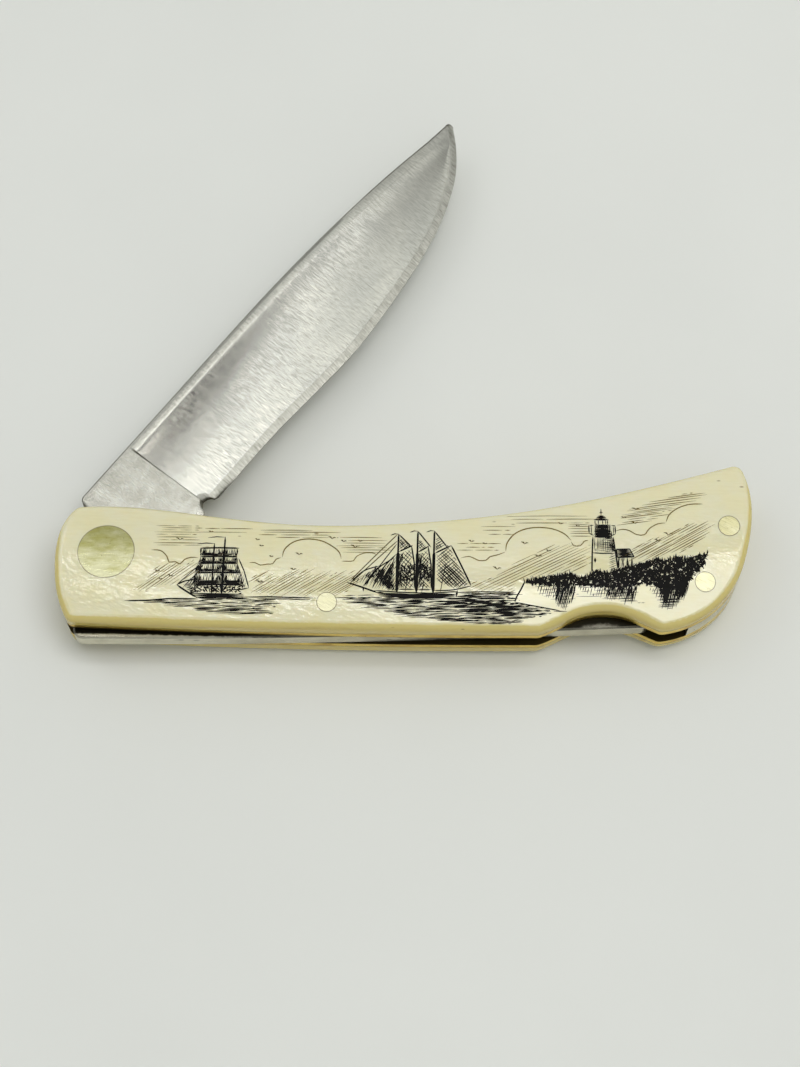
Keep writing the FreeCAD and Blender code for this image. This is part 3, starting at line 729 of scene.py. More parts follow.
def make_blade():
    """Hollow-ground blade and tang in one closed mesh: rounded rims, and rows that follow the grind."""
    upper, lower = blade_outlines()
    key = [p[0] for p in upper[:34]] + [p[0] for p in lower if p[0] < 21.0]
    key += list(np.linspace(17.7, 18.5, 11)) + list(np.arange(21.0, 98.0, 0.6))
    key += list(np.arange(98.0, 102.5, 0.25)) + [p[0] for p in upper[-9:]] + [p[0] for p in lower[-9:]]
    us = np.unique(np.round(np.clip(key, upper[0][0], upper[-1][0]), 3))
    keep = [us[0]]
    for value in us[1:]:
        if value - keep[-1] > 0.03:
            keep.append(value)
    keep[-1] = upper[-1][0]
    us = np.array(keep)
    up_v, low_v = across(upper, us), across(lower, us)
    up_line = np.stack([us, up_v], 1)
    low_line = np.stack([us, low_v], 1)
    low_line[0] = up_line[0]
    low_line[-1] = up_line[-1]
    up_in, low_in = inward(up_line, 1), inward(low_line, -1)
    up_in[0] = low_in[0] = (1.0, 0.0)
    nose = -(np.array(TIP) - np.array((100.0, 6.0)))
    up_in[-1] = low_in[-1] = nose / np.linalg.norm(nose)

    rows = []
    for i in range(ROUND_STEPS):
        angle = math.pi / 2 * i / (ROUND_STEPS - 1)
        rows.append(("low", ARRIS * (1 - math.cos(angle)), ARRIS * math.sin(angle)))
    for share in [0.0, 0.55, 0.93, 1.0]:
        rows.append(("bevel", share, ARRIS))
    for share in [0.97, 0.92, 0.84, 0.76, 0.68, 0.6, 0.52, 0.44, 0.36, 0.28, 0.2, 0.13, 0.07, 0.03, 0.006]:
        rows.append(("grind", share, ARRIS))
    for share in [0.02, 0.3, 0.7]:
        rows.append(("flat", share, ARRIS))
    for i in reversed(range(ROUND_STEPS)):
        angle = math.pi / 2 * i / (ROUND_STEPS - 1)
        rows.append(("up", ARRIS * (1 - math.cos(angle)), ARRIS * math.sin(angle)))

    points = []
    for row_kind, share, rise in rows:
        for k, u in enumerate(us):
            inner_low = low_line[k] + low_in[k] * ARRIS
            inner_up = up_line[k] + up_in[k] * ARRIS
            gap = inner_up - inner_low
            height = max(1e-6, float(np.linalg.norm(gap)))
            bevel = min(0.3, (BEVEL_W - ARRIS) / height)
            flat = min(0.3, (GRIND_BELOW_SPINE - ARRIS) / height)
            if row_kind == "low":
                p = low_line[k] + low_in[k] * share
            elif row_kind == "up":
                p = up_line[k] + up_in[k] * share
            elif row_kind == "bevel":
                p = inner_low + gap * bevel * share
            elif row_kind == "grind":
                p = inner_up - gap * (flat + (1 - bevel - flat) * share)
                if CHOIL_U[0] < u < CHOIL_U[1]:
                    tall = inner_up - np.array((u, EDGE[0][1] + ARRIS))
                    pull = 1 - CHOIL_PULL * share
                    straight = inner_up - tall * (flat + (1 - bevel - flat) * share) * pull
                    near_edge = max(0.0, share - CHOIL_BLEND_FROM) ** 2 / (1 - CHOIL_BLEND_FROM) ** 2
                    p = straight + (p - straight) * near_edge
            else:
                p = inner_up - gap * flat * (1 - share)
            half, depth = blade_half(p[0], p[1], low_v[k], up_v[k])
            if row_kind == "low":
                half -= (ARRIS - rise) * (1 - depth)
            if row_kind == "up":
                half = min(half, STEEL_T / 2 - (ARRIS - rise))
            points.append((p[0], p[1], max(EDGE_T, half)))

    count, columns = len(rows), len(us)
    flip = [(x, y, -z) for x, y, z in points]
    faces = []
    for r in range(count - 1):
        for k in range(columns - 1):
            a = r * columns + k
            quad = (a, a + 1, a + columns + 1, a + columns)
            faces.append(quad)
            faces.append(tuple(i + len(points) for i in reversed(quad)))
    for k in range(columns - 1):
        faces.append((k + 1, k, k + len(points), k + 1 + len(points)))
        a = (count - 1) * columns + k
        faces.append((a, a + 1, a + 1 + len(points), a + len(points)))
    blade = new_mesh("blade_ground", blade_to_part(points + flip), faces)
    fix_normals(blade.data, weld=2e-6)
    cut_away(blade, pivot_cutter())
    cut_away(blade, nick_cutter())
    blade.data.shade_smooth()
    blade.data.set_sharp_from_angle(angle=SHARP_BLADE)
    return blade


def pivot_cutter():
    """Upright rod that makes the blade's pivot hole."""
    sides = 48
    points = [(*polar(PIVOT_R, 2 * math.pi * i / sides), z) for z in PIVOT_CUT_Z for i in range(sides)]
    return new_mesh("cutter", points, ring_faces(len(PIVOT_CUT_Z), sides))


def nick_cutter():
    """Thin crescent sunk into the rear face below the spine, its lower wall sloping."""
    length, depth, u_mid = 13.0, 0.7, 58.0
    top = spine_v(u_mid) - 1.8
    z_face = -STEEL_T / 2
    stations = 25
    points = []
    for i in range(stations):
        t = -1 + 2 * i / (stations - 1)
        sink = depth * (1 - t * t)
        u = u_mid + t * length / 2
        points += [(u, top, z_face - 0.3), (u, top, z_face + sink),
                   (u, top - 0.35, z_face + sink), (u, top - 1.1 - 0.5 * sink, z_face - 0.3)]
    return new_mesh("cutter", blade_to_part(points), ring_faces(stations, 4))


def cut_away(obj, cutter):
    """obj without the space of cutter, which is then removed."""
    fix_normals(cutter.data)
    modifier = obj.modifiers.new("cut", "BOOLEAN")
    modifier.operation = "DIFFERENCE"
    modifier.solver = "EXACT"
    modifier.object = cutter
    graph = bpy.context.evaluated_depsgraph_get()
    result = bpy.data.meshes.new_from_object(obj.evaluated_get(graph))
    obj.modifiers.clear()
    obj.data = result
    bpy.data.objects.remove(cutter)


# ------------------------------------------------------------------ lock spring

def make_spring():
    """Leaf spring with eased edges, from its slot in the butt spacer to the tail of the lock bar."""
    path = smooth_line([(99.4, -0.4), (97.2, -0.4), (95.2, -0.4), (86.0, -1.2), (74.0, -3.35),
                        (62.0, -4.85)], 0.8)
    line = np.array(path)
    normals = inward(path, -1)
    half_t, half_w, ease = 0.55, 1.5, 0.16
    section = [(-half_t + ease, -half_w), (half_t - ease, -half_w), (half_t, -half_w + ease),
               (half_t, half_w - ease), (half_t - ease, half_w), (-half_t + ease, half_w),
               (-half_t, half_w - ease), (-half_t, -half_w + ease)]
    points = []
    for k, (p, n) in enumerate(zip(line, normals)):
        cloud_and_sheen = 0.85 if k in (0, len(path) - 1) else 1.0
        for t, w in section:
            x, y = p + n * t * cloud_and_sheen
            points.append((x, y, Z_MID + w * cloud_and_sheen))
    spring = new_mesh("lock_spring_leaf", points, ring_faces(len(path), len(section)))
    fix_normals(spring.data)
    spring.data.shade_smooth()
    spring.data.set_sharp_from_angle(angle=SHARP_SPRING)
    return spring


# ------------------------------------------------------------------ scrimshaw

def crown_z(x, y):
    """Height of the crowned face of the front scale."""
    off = math.hypot(x - CROWN_CENTRE[0], y - CROWN_CENTRE[1]) - CROWN_RING_R
    return Z_FACE - (CROWN_TUBE_R - math.sqrt(CROWN_TUBE_R ** 2 - off ** 2))


class Engraving:
    """Cut lines filled with one ink: every stroke is a thin closed sliver let into the bone."""

    def __init__(self, seed):
        self.points = []
        self.faces = []
        self.rng = random.Random(seed)

    def stroke(self, points, width, taper=0.35, step=0.7):
        """A line through the points, width wide, thinned over this share of its length at both ends."""
        line = [points[0]]
        for a, b in zip(points, points[1:]):
            count = max(1, math.ceil(math.dist(a, b) / step))
            line += [(a[0] + (b[0] - a[0]) * i / count, a[1] + (b[1] - a[1]) * i / count)
                     for i in range(1, count + 1)]
        if len(line) < 3:
            middle = ((line[0][0] + line[-1][0]) / 2, (line[0][1] + line[-1][1]) / 2)
            line = [line[0], middle, line[-1]]
        first = len(self.points)
        last = len(line) - 1
        for i, (x, y) in enumerate(line):
            ahead, behind = line[min(last, i + 1)], line[max(0, i - 1)]
            run = (ahead[0] - behind[0], ahead[1] - behind[1])
            length = math.hypot(*run) or 1.0
            nx, ny = -run[1] / length, run[0] / length
            end = min(i, last - i) / last
            share = min(1.0, end / taper) if taper else 1.0
            half = width / 2 * (0.18 + 0.82 * math.sin(share * math.pi / 2)) if taper else width / 2
            for side, lift in ((-1, -INK_DEPTH), (-1, INK_RISE), (1, INK_RISE), (1, -INK_DEPTH)):
                px, py = x + nx * half * side, y + ny * half * side
                self.points.append((px, py, crown_z(px, py) + lift))
        for i in range(last):
            a, b = first + 4 * i, first + 4 * (i + 1)
            for j in range(4):
                k = (j + 1) % 4
                self.faces.append((a + j, b + j, b + k, a + k))
        self.faces.append((first, first + 1, first + 2, first + 3))
        tail = first + 4 * last
        self.faces.append((tail + 3, tail + 2, tail + 1, tail))

    def curve(self, points, width, taper=0.12):
        self.stroke(smooth_line(points, 0.45), width, taper, 1.0)

    def hatch(self, area, angle, spacing, width, breaks=0.0, fringe=0.0, bow=0.0, longest=1000.0):
        """Parallel strokes across the area; breaks is the chance of a gap, fringe how far ends wander."""
        c, s = math.cos(math.radians(angle)), math.sin(math.radians(angle))
        turned = [(x * c + y * s, -x * s + y * c) for x, y in area]
        low, high = min(p[1] for p in turned), max(p[1] for p in turned)
        y = low + spacing * self.rng.uniform(0.2, 0.8)
        while y < high:
            hits = []
            for (x0, y0), (x1, y1) in zip(turned, turned[1:] + turned[:1]):
                if (y0 <= y) != (y1 <= y):
                    hits.append(x0 + (x1 - x0) * (y - y0) / (y1 - y0))
            hits.sort()
            for start, end in zip(hits[::2], hits[1::2]):
                self.run(start, end, y, c, s, width, breaks, fringe, bow, longest)
            y += spacing * self.rng.uniform(0.7, 1.3)

    def run(self, start, end, y, c, s, width, breaks, fringe, bow, longest):
        start += self.rng.uniform(-fringe, fringe)
        end += self.rng.uniform(-fringe, fringe)
        while end - start > 0.45:
            stop = end
            if end - start > longest:
                stop = start + longest * self.rng.uniform(0.35, 1.0)
            elif self.rng.random() < breaks:
                stop = start + (end - start) * self.rng.uniform(0.25, 0.8)
            middle = (start + stop) / 2
            line = [(start, y), (middle, y + bow * (stop - start) * self.rng.uniform(0.5, 1.5)), (stop, y)]
            self.stroke([(x * c - v * s, x * s + v * c) for x, v in line],
                        width * self.rng.uniform(0.65, 1.25), 0.4, 1.4)
            if stop == end:
                break
            start = stop + self.rng.uniform(0.1, 0.6)

    def scribble(self, area, count, length, width, angles, curl=0.15):
        """Short strokes at random places and angles inside the area."""
        xs, ys = [p[0] for p in area], [p[1] for p in area]
        made = 0
        while made < count:
            x, y = self.rng.uniform(min(xs), max(xs)), self.rng.uniform(min(ys), max(ys))
            if not inside(area, x, y):
                continue
            angle = math.radians(self.rng.uniform(*angles))
            reach = length * self.rng.uniform(0.5, 1.3) / 2
            dx, dy = math.cos(angle) * reach, math.sin(angle) * reach
            bend = curl * reach * self.rng.uniform(-1, 1)
            self.stroke([(x - dx, y - dy), (x - dy * bend, y + dx * bend), (x + dx, y + dy)],
                        width * self.rng.uniform(0.6, 1.3), 0.45, 1.0)
            made += 1

    def bird(self, x, y, span):
        """A gull: two shallow arcs that meet in a dip."""
        lift = span * self.rng.uniform(0.25, 0.4)
        self.stroke([(x - span / 2, y + lift), (x - span * 0.2, y + lift * 0.75), (x, y)], 0.24, 0.4, 0.5)
        self.stroke([(x, y), (x + span * 0.22, y + lift * 0.6), (x + span / 2, y + lift * 0.55)],
                    0.2, 0.4, 0.5)

    def finish(self, name, material):
        piece = new_mesh(name, self.points, self.faces)
        fix_normals(piece.data)
        dress(piece, material)
        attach(piece, "handle")


def inside(area, x, y):
    hit = False
    for (x0, y0), (x1, y1) in zip(area, area[1:] + area[:1]):
        if (y0 > y) != (y1 > y) and x < x0 + (x1 - x0) * (y - y0) / (y1 - y0):
            hit = not hit
    return hit


def box(x0, y0, x1, y1):
    return [(x0, y0), (x1, y0), (x1, y1), (x0, y1)]


def draw_sky(sepia):
    """Cloud outlines, level hatching above them and slanting hatching below; returns the birds' places."""
    sepia.curve([(7.4, 0.4), (8.9, 0.3), (10.0, -0.7), (10.4, -1.7), (11.4, -1.6), (12.2, -2.0), (12.9, -1.2),
                 (13.9, -0.8), (15.1, -0.8)], 0.19)
    sepia.curve([(23.5, -1.5), (24.4, -1.5), (25.3, -1.9), (26.4, -1.7), (27.3, -1.6), (27.8, -0.8),
                 (28.6, -0.5)], 0.15)
    sepia.curve([(28.8, -0.4), (29.1, 1.0), (30.5, 2.4), (32.7, 3.0), (35.1, 2.7), (37.1, 1.6), (38.1, 0.6),
                 (38.4, -0.5)], 0.2)
    sepia.curve([(38.5, -0.9), (39.5, -0.9), (40.4, -0.8), (40.9, 0.0), (42.0, 0.6), (43.4, 0.7),
                 (44.2, 0.4)], 0.15)
    sepia.curve([(57.9, 0.1), (59.2, 0.4), (60.2, 0.0), (60.9, -0.3), (62.0, -0.2), (62.6, 0.4),
                 (63.9, 0.8), (65.1, 1.3)], 0.16)
    sepia.curve([(65.2, 1.5), (65.4, 2.9), (66.5, 4.5), (68.2, 5.5), (70.3, 5.9), (72.8, 5.7), (74.8, 4.8),
                 (75.9, 3.6)], 0.2)
    sepia.curve([(75.9, 3.4), (76.3, 2.7), (77.4, 2.7), (78.0, 3.5), (78.7, 3.7)], 0.15)
    sepia.curve([(83.2, 5.5), (84.3, 5.8), (85.4, 5.6), (86.6, 4.9), (87.9, 4.9), (88.7, 6.0), (90.1, 6.9),
                 (91.4, 7.1)], 0.17)
    sepia.curve([(91.5, 7.3), (92.1, 8.7), (93.6, 9.9), (95.5, 10.6), (97.6, 10.7)], 0.19)
    level = [
        (box(8.2, 1.2, 15.0, 5.2), 0.45, 0.7), (box(15.0, 3.6, 23.5, 5.0), 0.55, 1.2),
        (box(24.5, 3.2, 37.5, 4.6), 0.42, 1.4), (box(38.4, 0.6, 46.2, 2.5), 0.4, 0.9),
        (box(38.8, 2.7, 45.0, 4.0), 0.6, 1.0), (box(58.0, 1.4, 64.5, 3.4), 0.6, 1.2),
        (box(61.5, 4.4, 66.0, 6.3), 0.6, 1.0), (box(66.0, 6.6, 79.0, 8.6), 0.55, 1.6),
        (box(75.8, 4.3, 79.2, 7.0), 0.5, 0.5),
    ]
    for area, spacing, fringe in level:
        sepia.hatch(area, 1.0, spacing, 0.12, 0.5, fringe, 0.004)
    sepia.hatch([(84.0, 6.6), (88.0, 6.8), (91.0, 8.0), (93.0, 10.4), (97.8, 11.4), (97.0, 13.2),
                 (92.0, 12.0),
                 (85.5, 9.6)], 9.0, 0.36, 0.13, 0.4, 1.2, 0.004)
    sepia.hatch([(9.0, -1.9), (12.5, -2.2), (15.0, -1.0), (15.6, -3.4), (11.8, -5.4), (3.8, -7.0),
                 (7.0, -4.6)], 38.0, 0.42, 0.12, 0.5, 0.8)
    sepia.hatch([(23.6, -3.0), (28.5, -3.4), (33.0, -2.9), (38.0, -2.6), (42.5, -3.4), (39.0, -6.6),
                 (24.5, -7.0)], 33.0, 0.4, 0.12, 0.5, 1.2)
    sepia.hatch([(58.5, -4.2), (63.0, -3.4), (67.0, -0.2), (72.0, 2.4), (78.6, 2.9), (78.8, -1.2),
                 (74.0, -2.2),
                 (68.0, -3.2), (66.4, -5.6), (59.5, -5.9)], 28.0, 0.42, 0.12, 0.5, 1.2)
    sepia.hatch([(84.0, 0.9), (86.5, 3.0), (91.0, 5.0), (96.5, 7.4), (98.9, 7.0), (97.6, 4.4), (94.0, 2.0),
                 (88.0, 0.6)], 31.0, 0.34, 0.14, 0.4, 1.2)
    birds = [(11.9, 2.3, 1.3), (8.6, -3.4, 0.9), (10.8, -4.2, 0.9), (9.2, -4.7, 0.7), (16.9, 3.9, 0.8),
             (25.4, -5.0, 1.3), (31.5, 0.1, 1.2), (36.8, 3.1, 1.3), (38.7, 2.6, 1.0), (40.6, 1.6, 1.5),
             (41.4, 2.7, 0.9), (24.6, 2.6, 0.8), (25.3, 1.5, 0.8), (27.0, -0.4, 0.7), (30.7, -2.6, 1.0),
             (59.6, 3.0, 1.0), (61.8, 2.7, 0.8), (68.3, 2.8, 1.2), (70.5, 0.6, 1.3), (63.8, -1.8, 1.4),
             (72.2, 1.6, 0.9), (74.2, 6.6, 0.9), (77.0, 6.2, 0.7), (86.4, 6.9, 1.4), (86.6, 9.5, 1.3),
             (90.1, 3.7, 1.2), (91.8, 4.9, 1.5), (84.6, 7.9, 0.9)]
    return birds


def draw_sea(black, area, spacing, width):
    """Short wave strokes that climb a little to the right, with bone left bare between them."""
    black.hatch(area, 2.0, spacing * 0.72, width * 0.62, 0.6, 1.4, 0.008, 7.0)
    black.hatch(area, 5.0, spacing * 1.5, width * 0.6, 0.7, 0.8, 0.012, 4.0)


def between(a, b, share):
    return (a[0] + (b[0] - a[0]) * share, a[1] + (b[1] - a[1]) * share)


def shade_sail(black, top_left, top_right, low_right, low_left):
    """Square sail: dark seams up both sides, a dark foot, and a lighter belly ruled from top to bottom."""
    black.hatch([top_left, top_right, low_right, low_left], 83.0, 0.27, 0.14, 0.4, 0.05)
    foot_left, foot_right = between(low_left, top_left, 0.42), between(low_right, top_right, 0.36)
    black.hatch([foot_left, foot_right, low_right, low_left], 4.0, 0.17, 0.22, 0.2, 0.1)
    black.hatch([top_left, between(top_left, top_right, 0.24), between(low_left, low_right, 0.28), low_left],
                80.0, 0.2, 0.21, 0.15, 0.08)
    black.hatch([between(top_left, top_right, 0.84), top_right, low_right, between(low_left,
                 low_right, 0.78)],
                96.0, 0.2, 0.21, 0.15, 0.08)


def draw_square_rigger(black):
    """Two-masted ship seen from the quarter, stacked square sails over a low dark hull."""
    for x, top in ((17.6, 1.9), (19.3, 3.1)):
        black.stroke([(x, -7.2), (x, top)], 0.27, 0.05)
        black.stroke([(x, top - 0.1), (x - 1.4, top - 0.05), (x - 2.8, top - 0.25)], 0.17, 0.5)
    black.stroke([(19.25, -7.2), (19.25, 0.9)], 0.42, 0.03)
    yards = [(1.0, 15.3, 21.7), (-0.55, 15.4, 21.4), (-1.75, 15.1, 21.6), (-3.4, 14.7, 22.0),
             (-5.5, 14.5, 22.4)]
    for y, x0, x1 in yards:
        black.stroke([(x0, y - 0.1), ((x0 + x1) / 2, y + 0.05), (x1, y + 0.05)], 0.27, 0.08)
    for (y0, a0, a1), (y1, b0, b1) in zip(yards, yards[1:]):
        shade_sail(black, (a0, y0 - 0.1), (19.0, y0 - 0.05), (19.0, y1 + 0.1), (b0, y1 + 0.05))
        shade_sail(black, (19.3, y0 - 0.05), (a1, y0), (b1, y1 + 0.1), (19.3, y1 + 0.1))
    black.scribble(box(14.9, -6.7, 22.3, -5.4), 75, 0.75, 0.24, (0, 180))
    hull = [(13.5, -6.6), (15.2, -7.0), (22.9, -6.9), (22.6, -7.7), (15.3, -7.8)]
    black.hatch(hull, 0.0, 0.17, 0.24, 0.2, 0.15)
    black.curve([(11.9, -5.6), (13.2, -4.95), (14.9, -4.6)], 0.24)
    black.stroke([(11.9, -5.6), (12.9, -6.3), (14.2, -7.1), (15.3, -7.7)], 0.3, 0.12)
    black.hatch([(12.9, -5.5), (14.9, -4.8), (15.3, -6.9), (14.1, -6.8)], -18.0, 0.24, 0.2, 0.2, 0.15)
    black.hatch([(13.6, -4.7), (15.0, -4.0), (15.2, -6.8), (14.2, -6.4)], 64.0, 0.28, 0.22, 0.1, 0.15)
    for foot in ((11.9, -5.6), (12.9, -6.1)):
        black.stroke([foot, (15.6, -1.9 - (foot[0] - 11.9))], 0.14, 0.1)
    black.stroke([(21.7, -0.8), (22.7, -3.0), (23.6, -5.9)], 0.19, 0.08)
    black.stroke([(21.5, -1.6), (22.3, -4.2), (22.6, -6.2)], 0.15, 0.08)
    black.stroke([(23.6, -5.9), (22.4, -6.2), (20.4, -6.3)], 0.2, 0.15)
    black.hatch([(21.9, -2.4), (22.4, -3.0), (23.2, -5.8), (22.2, -5.9)], 78.0, 0.26, 0.16, 0.2, 0.15)


def draw_schooner(black, brown):
    """Three-masted schooner heading left under fore-and-aft sails."""
    black.stroke([(39.5, -4.6), (42.0, -5.4), (44.6, -6.3)], 0.28, 0.15)
    hull = [(44.3, -6.2), (50.0, -6.35), (57.4, -6.1), (56.7, -6.95), (50.0, -7.05), (45.0, -6.95)]
    black.hatch(hull, 0.0, 0.14, 0.24, 0.1, 0.1)
    black.stroke([(43.9, -5.9), (48.0, -6.1), (53.0, -6.15), (57.4, -5.75)], 0.2, 0.05)
    black.stroke([(57.4, -5.5), (57.2, -6.7)], 0.34, 0.1)
    black.stroke([(42.1, -5.3), (42.2, -6.1)], 0.24, 0.2)
    masts = ((47.65, 4.3), (50.8, 4.9), (53.5, 5.0))
    for x, top in masts:
        black.stroke([(x, -6.2), (x - 0.02, 0.0), (x + 0.02, top)], 0.3, 0.04)
        black.stroke([(x - 0.05, -6.2), (x, 1.2)], 0.5, 0.04)
        black.stroke([(x, top - 0.05), (x - 0.6, top), (x - 1.3, top - 0.3)], 0.2, 0.5)
        black.stroke([(x + 0.05, top - 0.1), (x + 2.2, 1.9)], 0.23, 0.06)
    brown.stroke([(39.9, -4.4), (47.5, 4.2)], 0.16, 0.02)
    brown.stroke([(40.4, -4.4), (47.5, 3.0)], 0.16, 0.02)
    black.stroke([(42.3, -5.2), (47.4, 2.4)], 0.16, 0.02)
    jibs = ([(40.1, -4.5), (44.6, -1.6), (44.4, -4.8)], [(42.1, -5.2), (47.0, -0.1), (46.1, -5.3)],
            [(43.6, -5.5), (47.4, 0.6), (47.4, -6.0)])
    for corners in jibs:
        (x0, y0), (x1, y1), _ = corners
        black.curve([corners[0], ((x0 + x1) / 2 - 0.2, (y0 + y1) / 2 + 0.5), corners[1]], 0.2)
        black.stroke([corners[1], corners[2]], 0.15, 0.05)
        black.hatch(corners, 62.0, 0.4, 0.14, 0.2, 0.1)
    black.hatch([(44.0, -2.8), (46.9, -0.6), (47.3, -5.8), (46.0, -5.4)], 66.0, 0.24, 0.2, 0.3, 0.3)
    black.scribble([(42.2, -3.2), (44.8, -1.6), (46.6, -4.4), (47.0, -5.8), (44.4, -4.2)],
                   75, 1.1, 0.2, (30, 85))
    black.hatch([(43.8, -2.9), (44.9, -2.6), (47.2, -5.9), (46.4, -5.9)], -52.0, 0.22, 0.22, 0.2, 0.2)
    for (x0, _), (x1, _) in zip(masts, masts[1:]):
        black.stroke([(x0 + 0.1, 1.0), ((x0 + x1) / 2, 1.8), (x1 - 0.8, 2.2)], 0.27, 0.06)
        black.stroke([(x1 - 1.0, 2.2), (x1 - 0.45, -1.2), (x1 - 0.35, -5.4)], 0.24, 0.05)
        black.stroke([(x0 + 0.1, -5.6), (x1 - 0.3, -5.55)], 0.2, 0.06)
        sail = [(x0 + 0.2, 0.6), (x1 - 1.0, 1.6), (x1 - 0.5, -1.4), (x1 - 0.5, -5.4), (x0 + 0.2, -5.4)]
        black.hatch(sail, 56.0, 0.5, 0.14, 0.25, 0.1)
        black.hatch(sail, -44.0, 0.46, 0.15, 0.3, 0.1)
        luff = [(x0 + 0.1, 0.6), (x0 + 0.8, 0.9), (x0 + 0.7, -5.3), (x0 + 0.1, -5.3)]
        black.hatch(luff, 82.0, 0.2, 0.2, 0.2, 0.1)
        belly = [(x0 + 0.3, -0.9), (x1 - 0.5, -1.6), (x1 - 0.5, -4.3), (x0 + 0.5, -3.9)]
        black.scribble(belly, 48, 1.0, 0.23, (20, 150))
        topsail = [(x0 + 0.15, 1.3), (x0 + 0.15, 3.6), (x1 - 1.1, 2.1)]
        black.hatch(topsail, 40.0, 0.3, 0.16, 0.1, 0.05)
        black.hatch(topsail, -50.0, 0.36, 0.14, 0.2, 0.05)
    black.stroke([(53.6, 0.8), (54.8, 1.5), (56.3, 2.3)], 0.27, 0.06)
    black.stroke([(56.3, 2.3), (58.0, -1.3), (59.6, -4.7)], 0.27, 0.05)
    black.curve([(53.6, -5.7), (56.6, -5.5), (59.6, -4.75)], 0.2)
    spanker = [(53.9, 0.6), (56.1, 2.0), (59.3, -4.6), (56.8, -5.3), (54.0, -4.0)]
    black.hatch(spanker, 42.0, 0.46, 0.17, 0.15, 0.15)
    black.hatch(spanker, -46.0, 0.44, 0.18, 0.15, 0.15)
    black.hatch([(54.0, -1.8), (56.8, -1.2), (58.9, -4.4), (56.2, -5.2)], -46.0, 0.32, 0.2, 0.2, 0.2)
    black.hatch([(53.7, 1.3), (53.7, 4.2), (55.9, 2.3)], 34.0, 0.34, 0.17, 0.1, 0.05)
    black.hatch([(53.7, 1.3), (53.7, 3.0), (55.0, 2.0)], -56.0, 0.3, 0.17, 0.1, 0.05)
    for x in (46.2, 48.9, 51.6, 54.6):
        black.stroke([(x, -6.1), (x + 0.9, -0.6)], 0.12, 0.05)


def draw_headland(black):
    """Cliff edge, brush along the top, shaded buttresses under it, and the shore line below."""
    black.curve([(68.3, -3.8), (67.7, -5.1), (67.0, -6.4), (66.7, -7.3)], 0.26)
    black.curve([(66.7, -7.3), (69.6, -7.8), (74.0, -8.5)], 0.2)
    tops = [(68.3, -3.7), (69.8, -3.3), (71.3, -3.0), (73.3, -2.7), (74.6, -2.5), (75.8, -2.1), (76.9, -3.0),
            (78.5, -2.6), (80.0, -1.6), (82.0, -1.8), (84.0, -1.1), (86.2, -0.6), (88.3, 0.0), (89.8, 0.7),
            (91.2, 0.4), (93.0, 1.2), (94.5, 0.8), (96.0, 1.2), (98.2, 2.1)]
    lows = [(97.7, 0.4), (96.7, -1.0), (95.7, -2.4), (93.4, -4.0), (91.0, -4.3), (88.3, -3.7), (86.7, -3.8),
            (84.4, -4.3), (80.0, -4.3), (76.8, -4.1), (74.6, -4.4), (72.5, -4.3), (69.1, -4.2)]
    black.scribble(tops + lows, 2100, 0.85, 0.27, (15, 165), 0.5)
    for a, b in zip(tops, tops[1:]):
        for k in range(7):
            x, y = between(a, b, (k + black.rng.random()) / 7)
            lean = black.rng.uniform(-0.25, 0.25)
            black.stroke([(x, y - 0.5), (x + lean, y + black.rng.uniform(0.1, 0.6))], 0.2, 0.5)
    faint = [[(69.6, -4.1), (73.0, -4.2), (74.2, -7.2), (71.0, -6.0)],
             [(77.0, -4.2), (81.5, -4.2), (82.0, -6.2), (77.4, -5.4)],
             [(88.2, -3.8), (91.0, -4.2), (91.0, -6.4), (89.4, -5.6)]]
    dark = [[(72.6, -4.2), (76.7, -4.0), (76.1, -6.6), (75.0, -8.2), (73.4, -7.4)],
            [(80.6, -4.2), (86.8, -3.9), (86.2, -6.4), (84.8, -6.8), (81.6, -5.9)],
            [(89.8, -4.0), (95.2, -2.8), (94.4, -5.6), (92.6, -7.2), (90.6, -7.3)]]
    for area in faint:
        black.hatch(area, 76.0, 0.4, 0.15, 0.2, 0.4)
        black.hatch(area, 6.0, 0.55, 0.1, 0.4, 0.3)
    for area in dark:
        black.hatch(area, 76.0, 0.25, 0.22, 0.15, 0.5)
        black.hatch(area, 5.0, 0.5, 0.13, 0.3, 0.4)
    black.scribble([(73.0, -4.1), (76.6, -4.1), (75.9, -6.0), (74.0, -5.4)], 34, 1.5, 0.25, (70, 84))
    black.scribble([(81.6, -4.0), (86.6, -4.0), (86.2, -5.4), (83.0, -4.9)], 34, 1.4, 0.23, (68, 84))
    black.scribble([(89.8, -3.8), (95.0, -3.0), (93.9, -5.4), (90.8, -5.6)], 110, 1.4, 0.27, (60, 95))
    black.hatch([(90.0, -6.2), (93.8, -5.8), (92.4, -7.6), (90.2, -7.5)], 6.0, 0.4, 0.14, 0.3, 0.3)
    black.hatch([(76.8, -5.6), (88.0, -6.6), (88.4, -6.9), (77.0, -6.1)], 2.0, 0.34, 0.1, 0.6, 0.6)


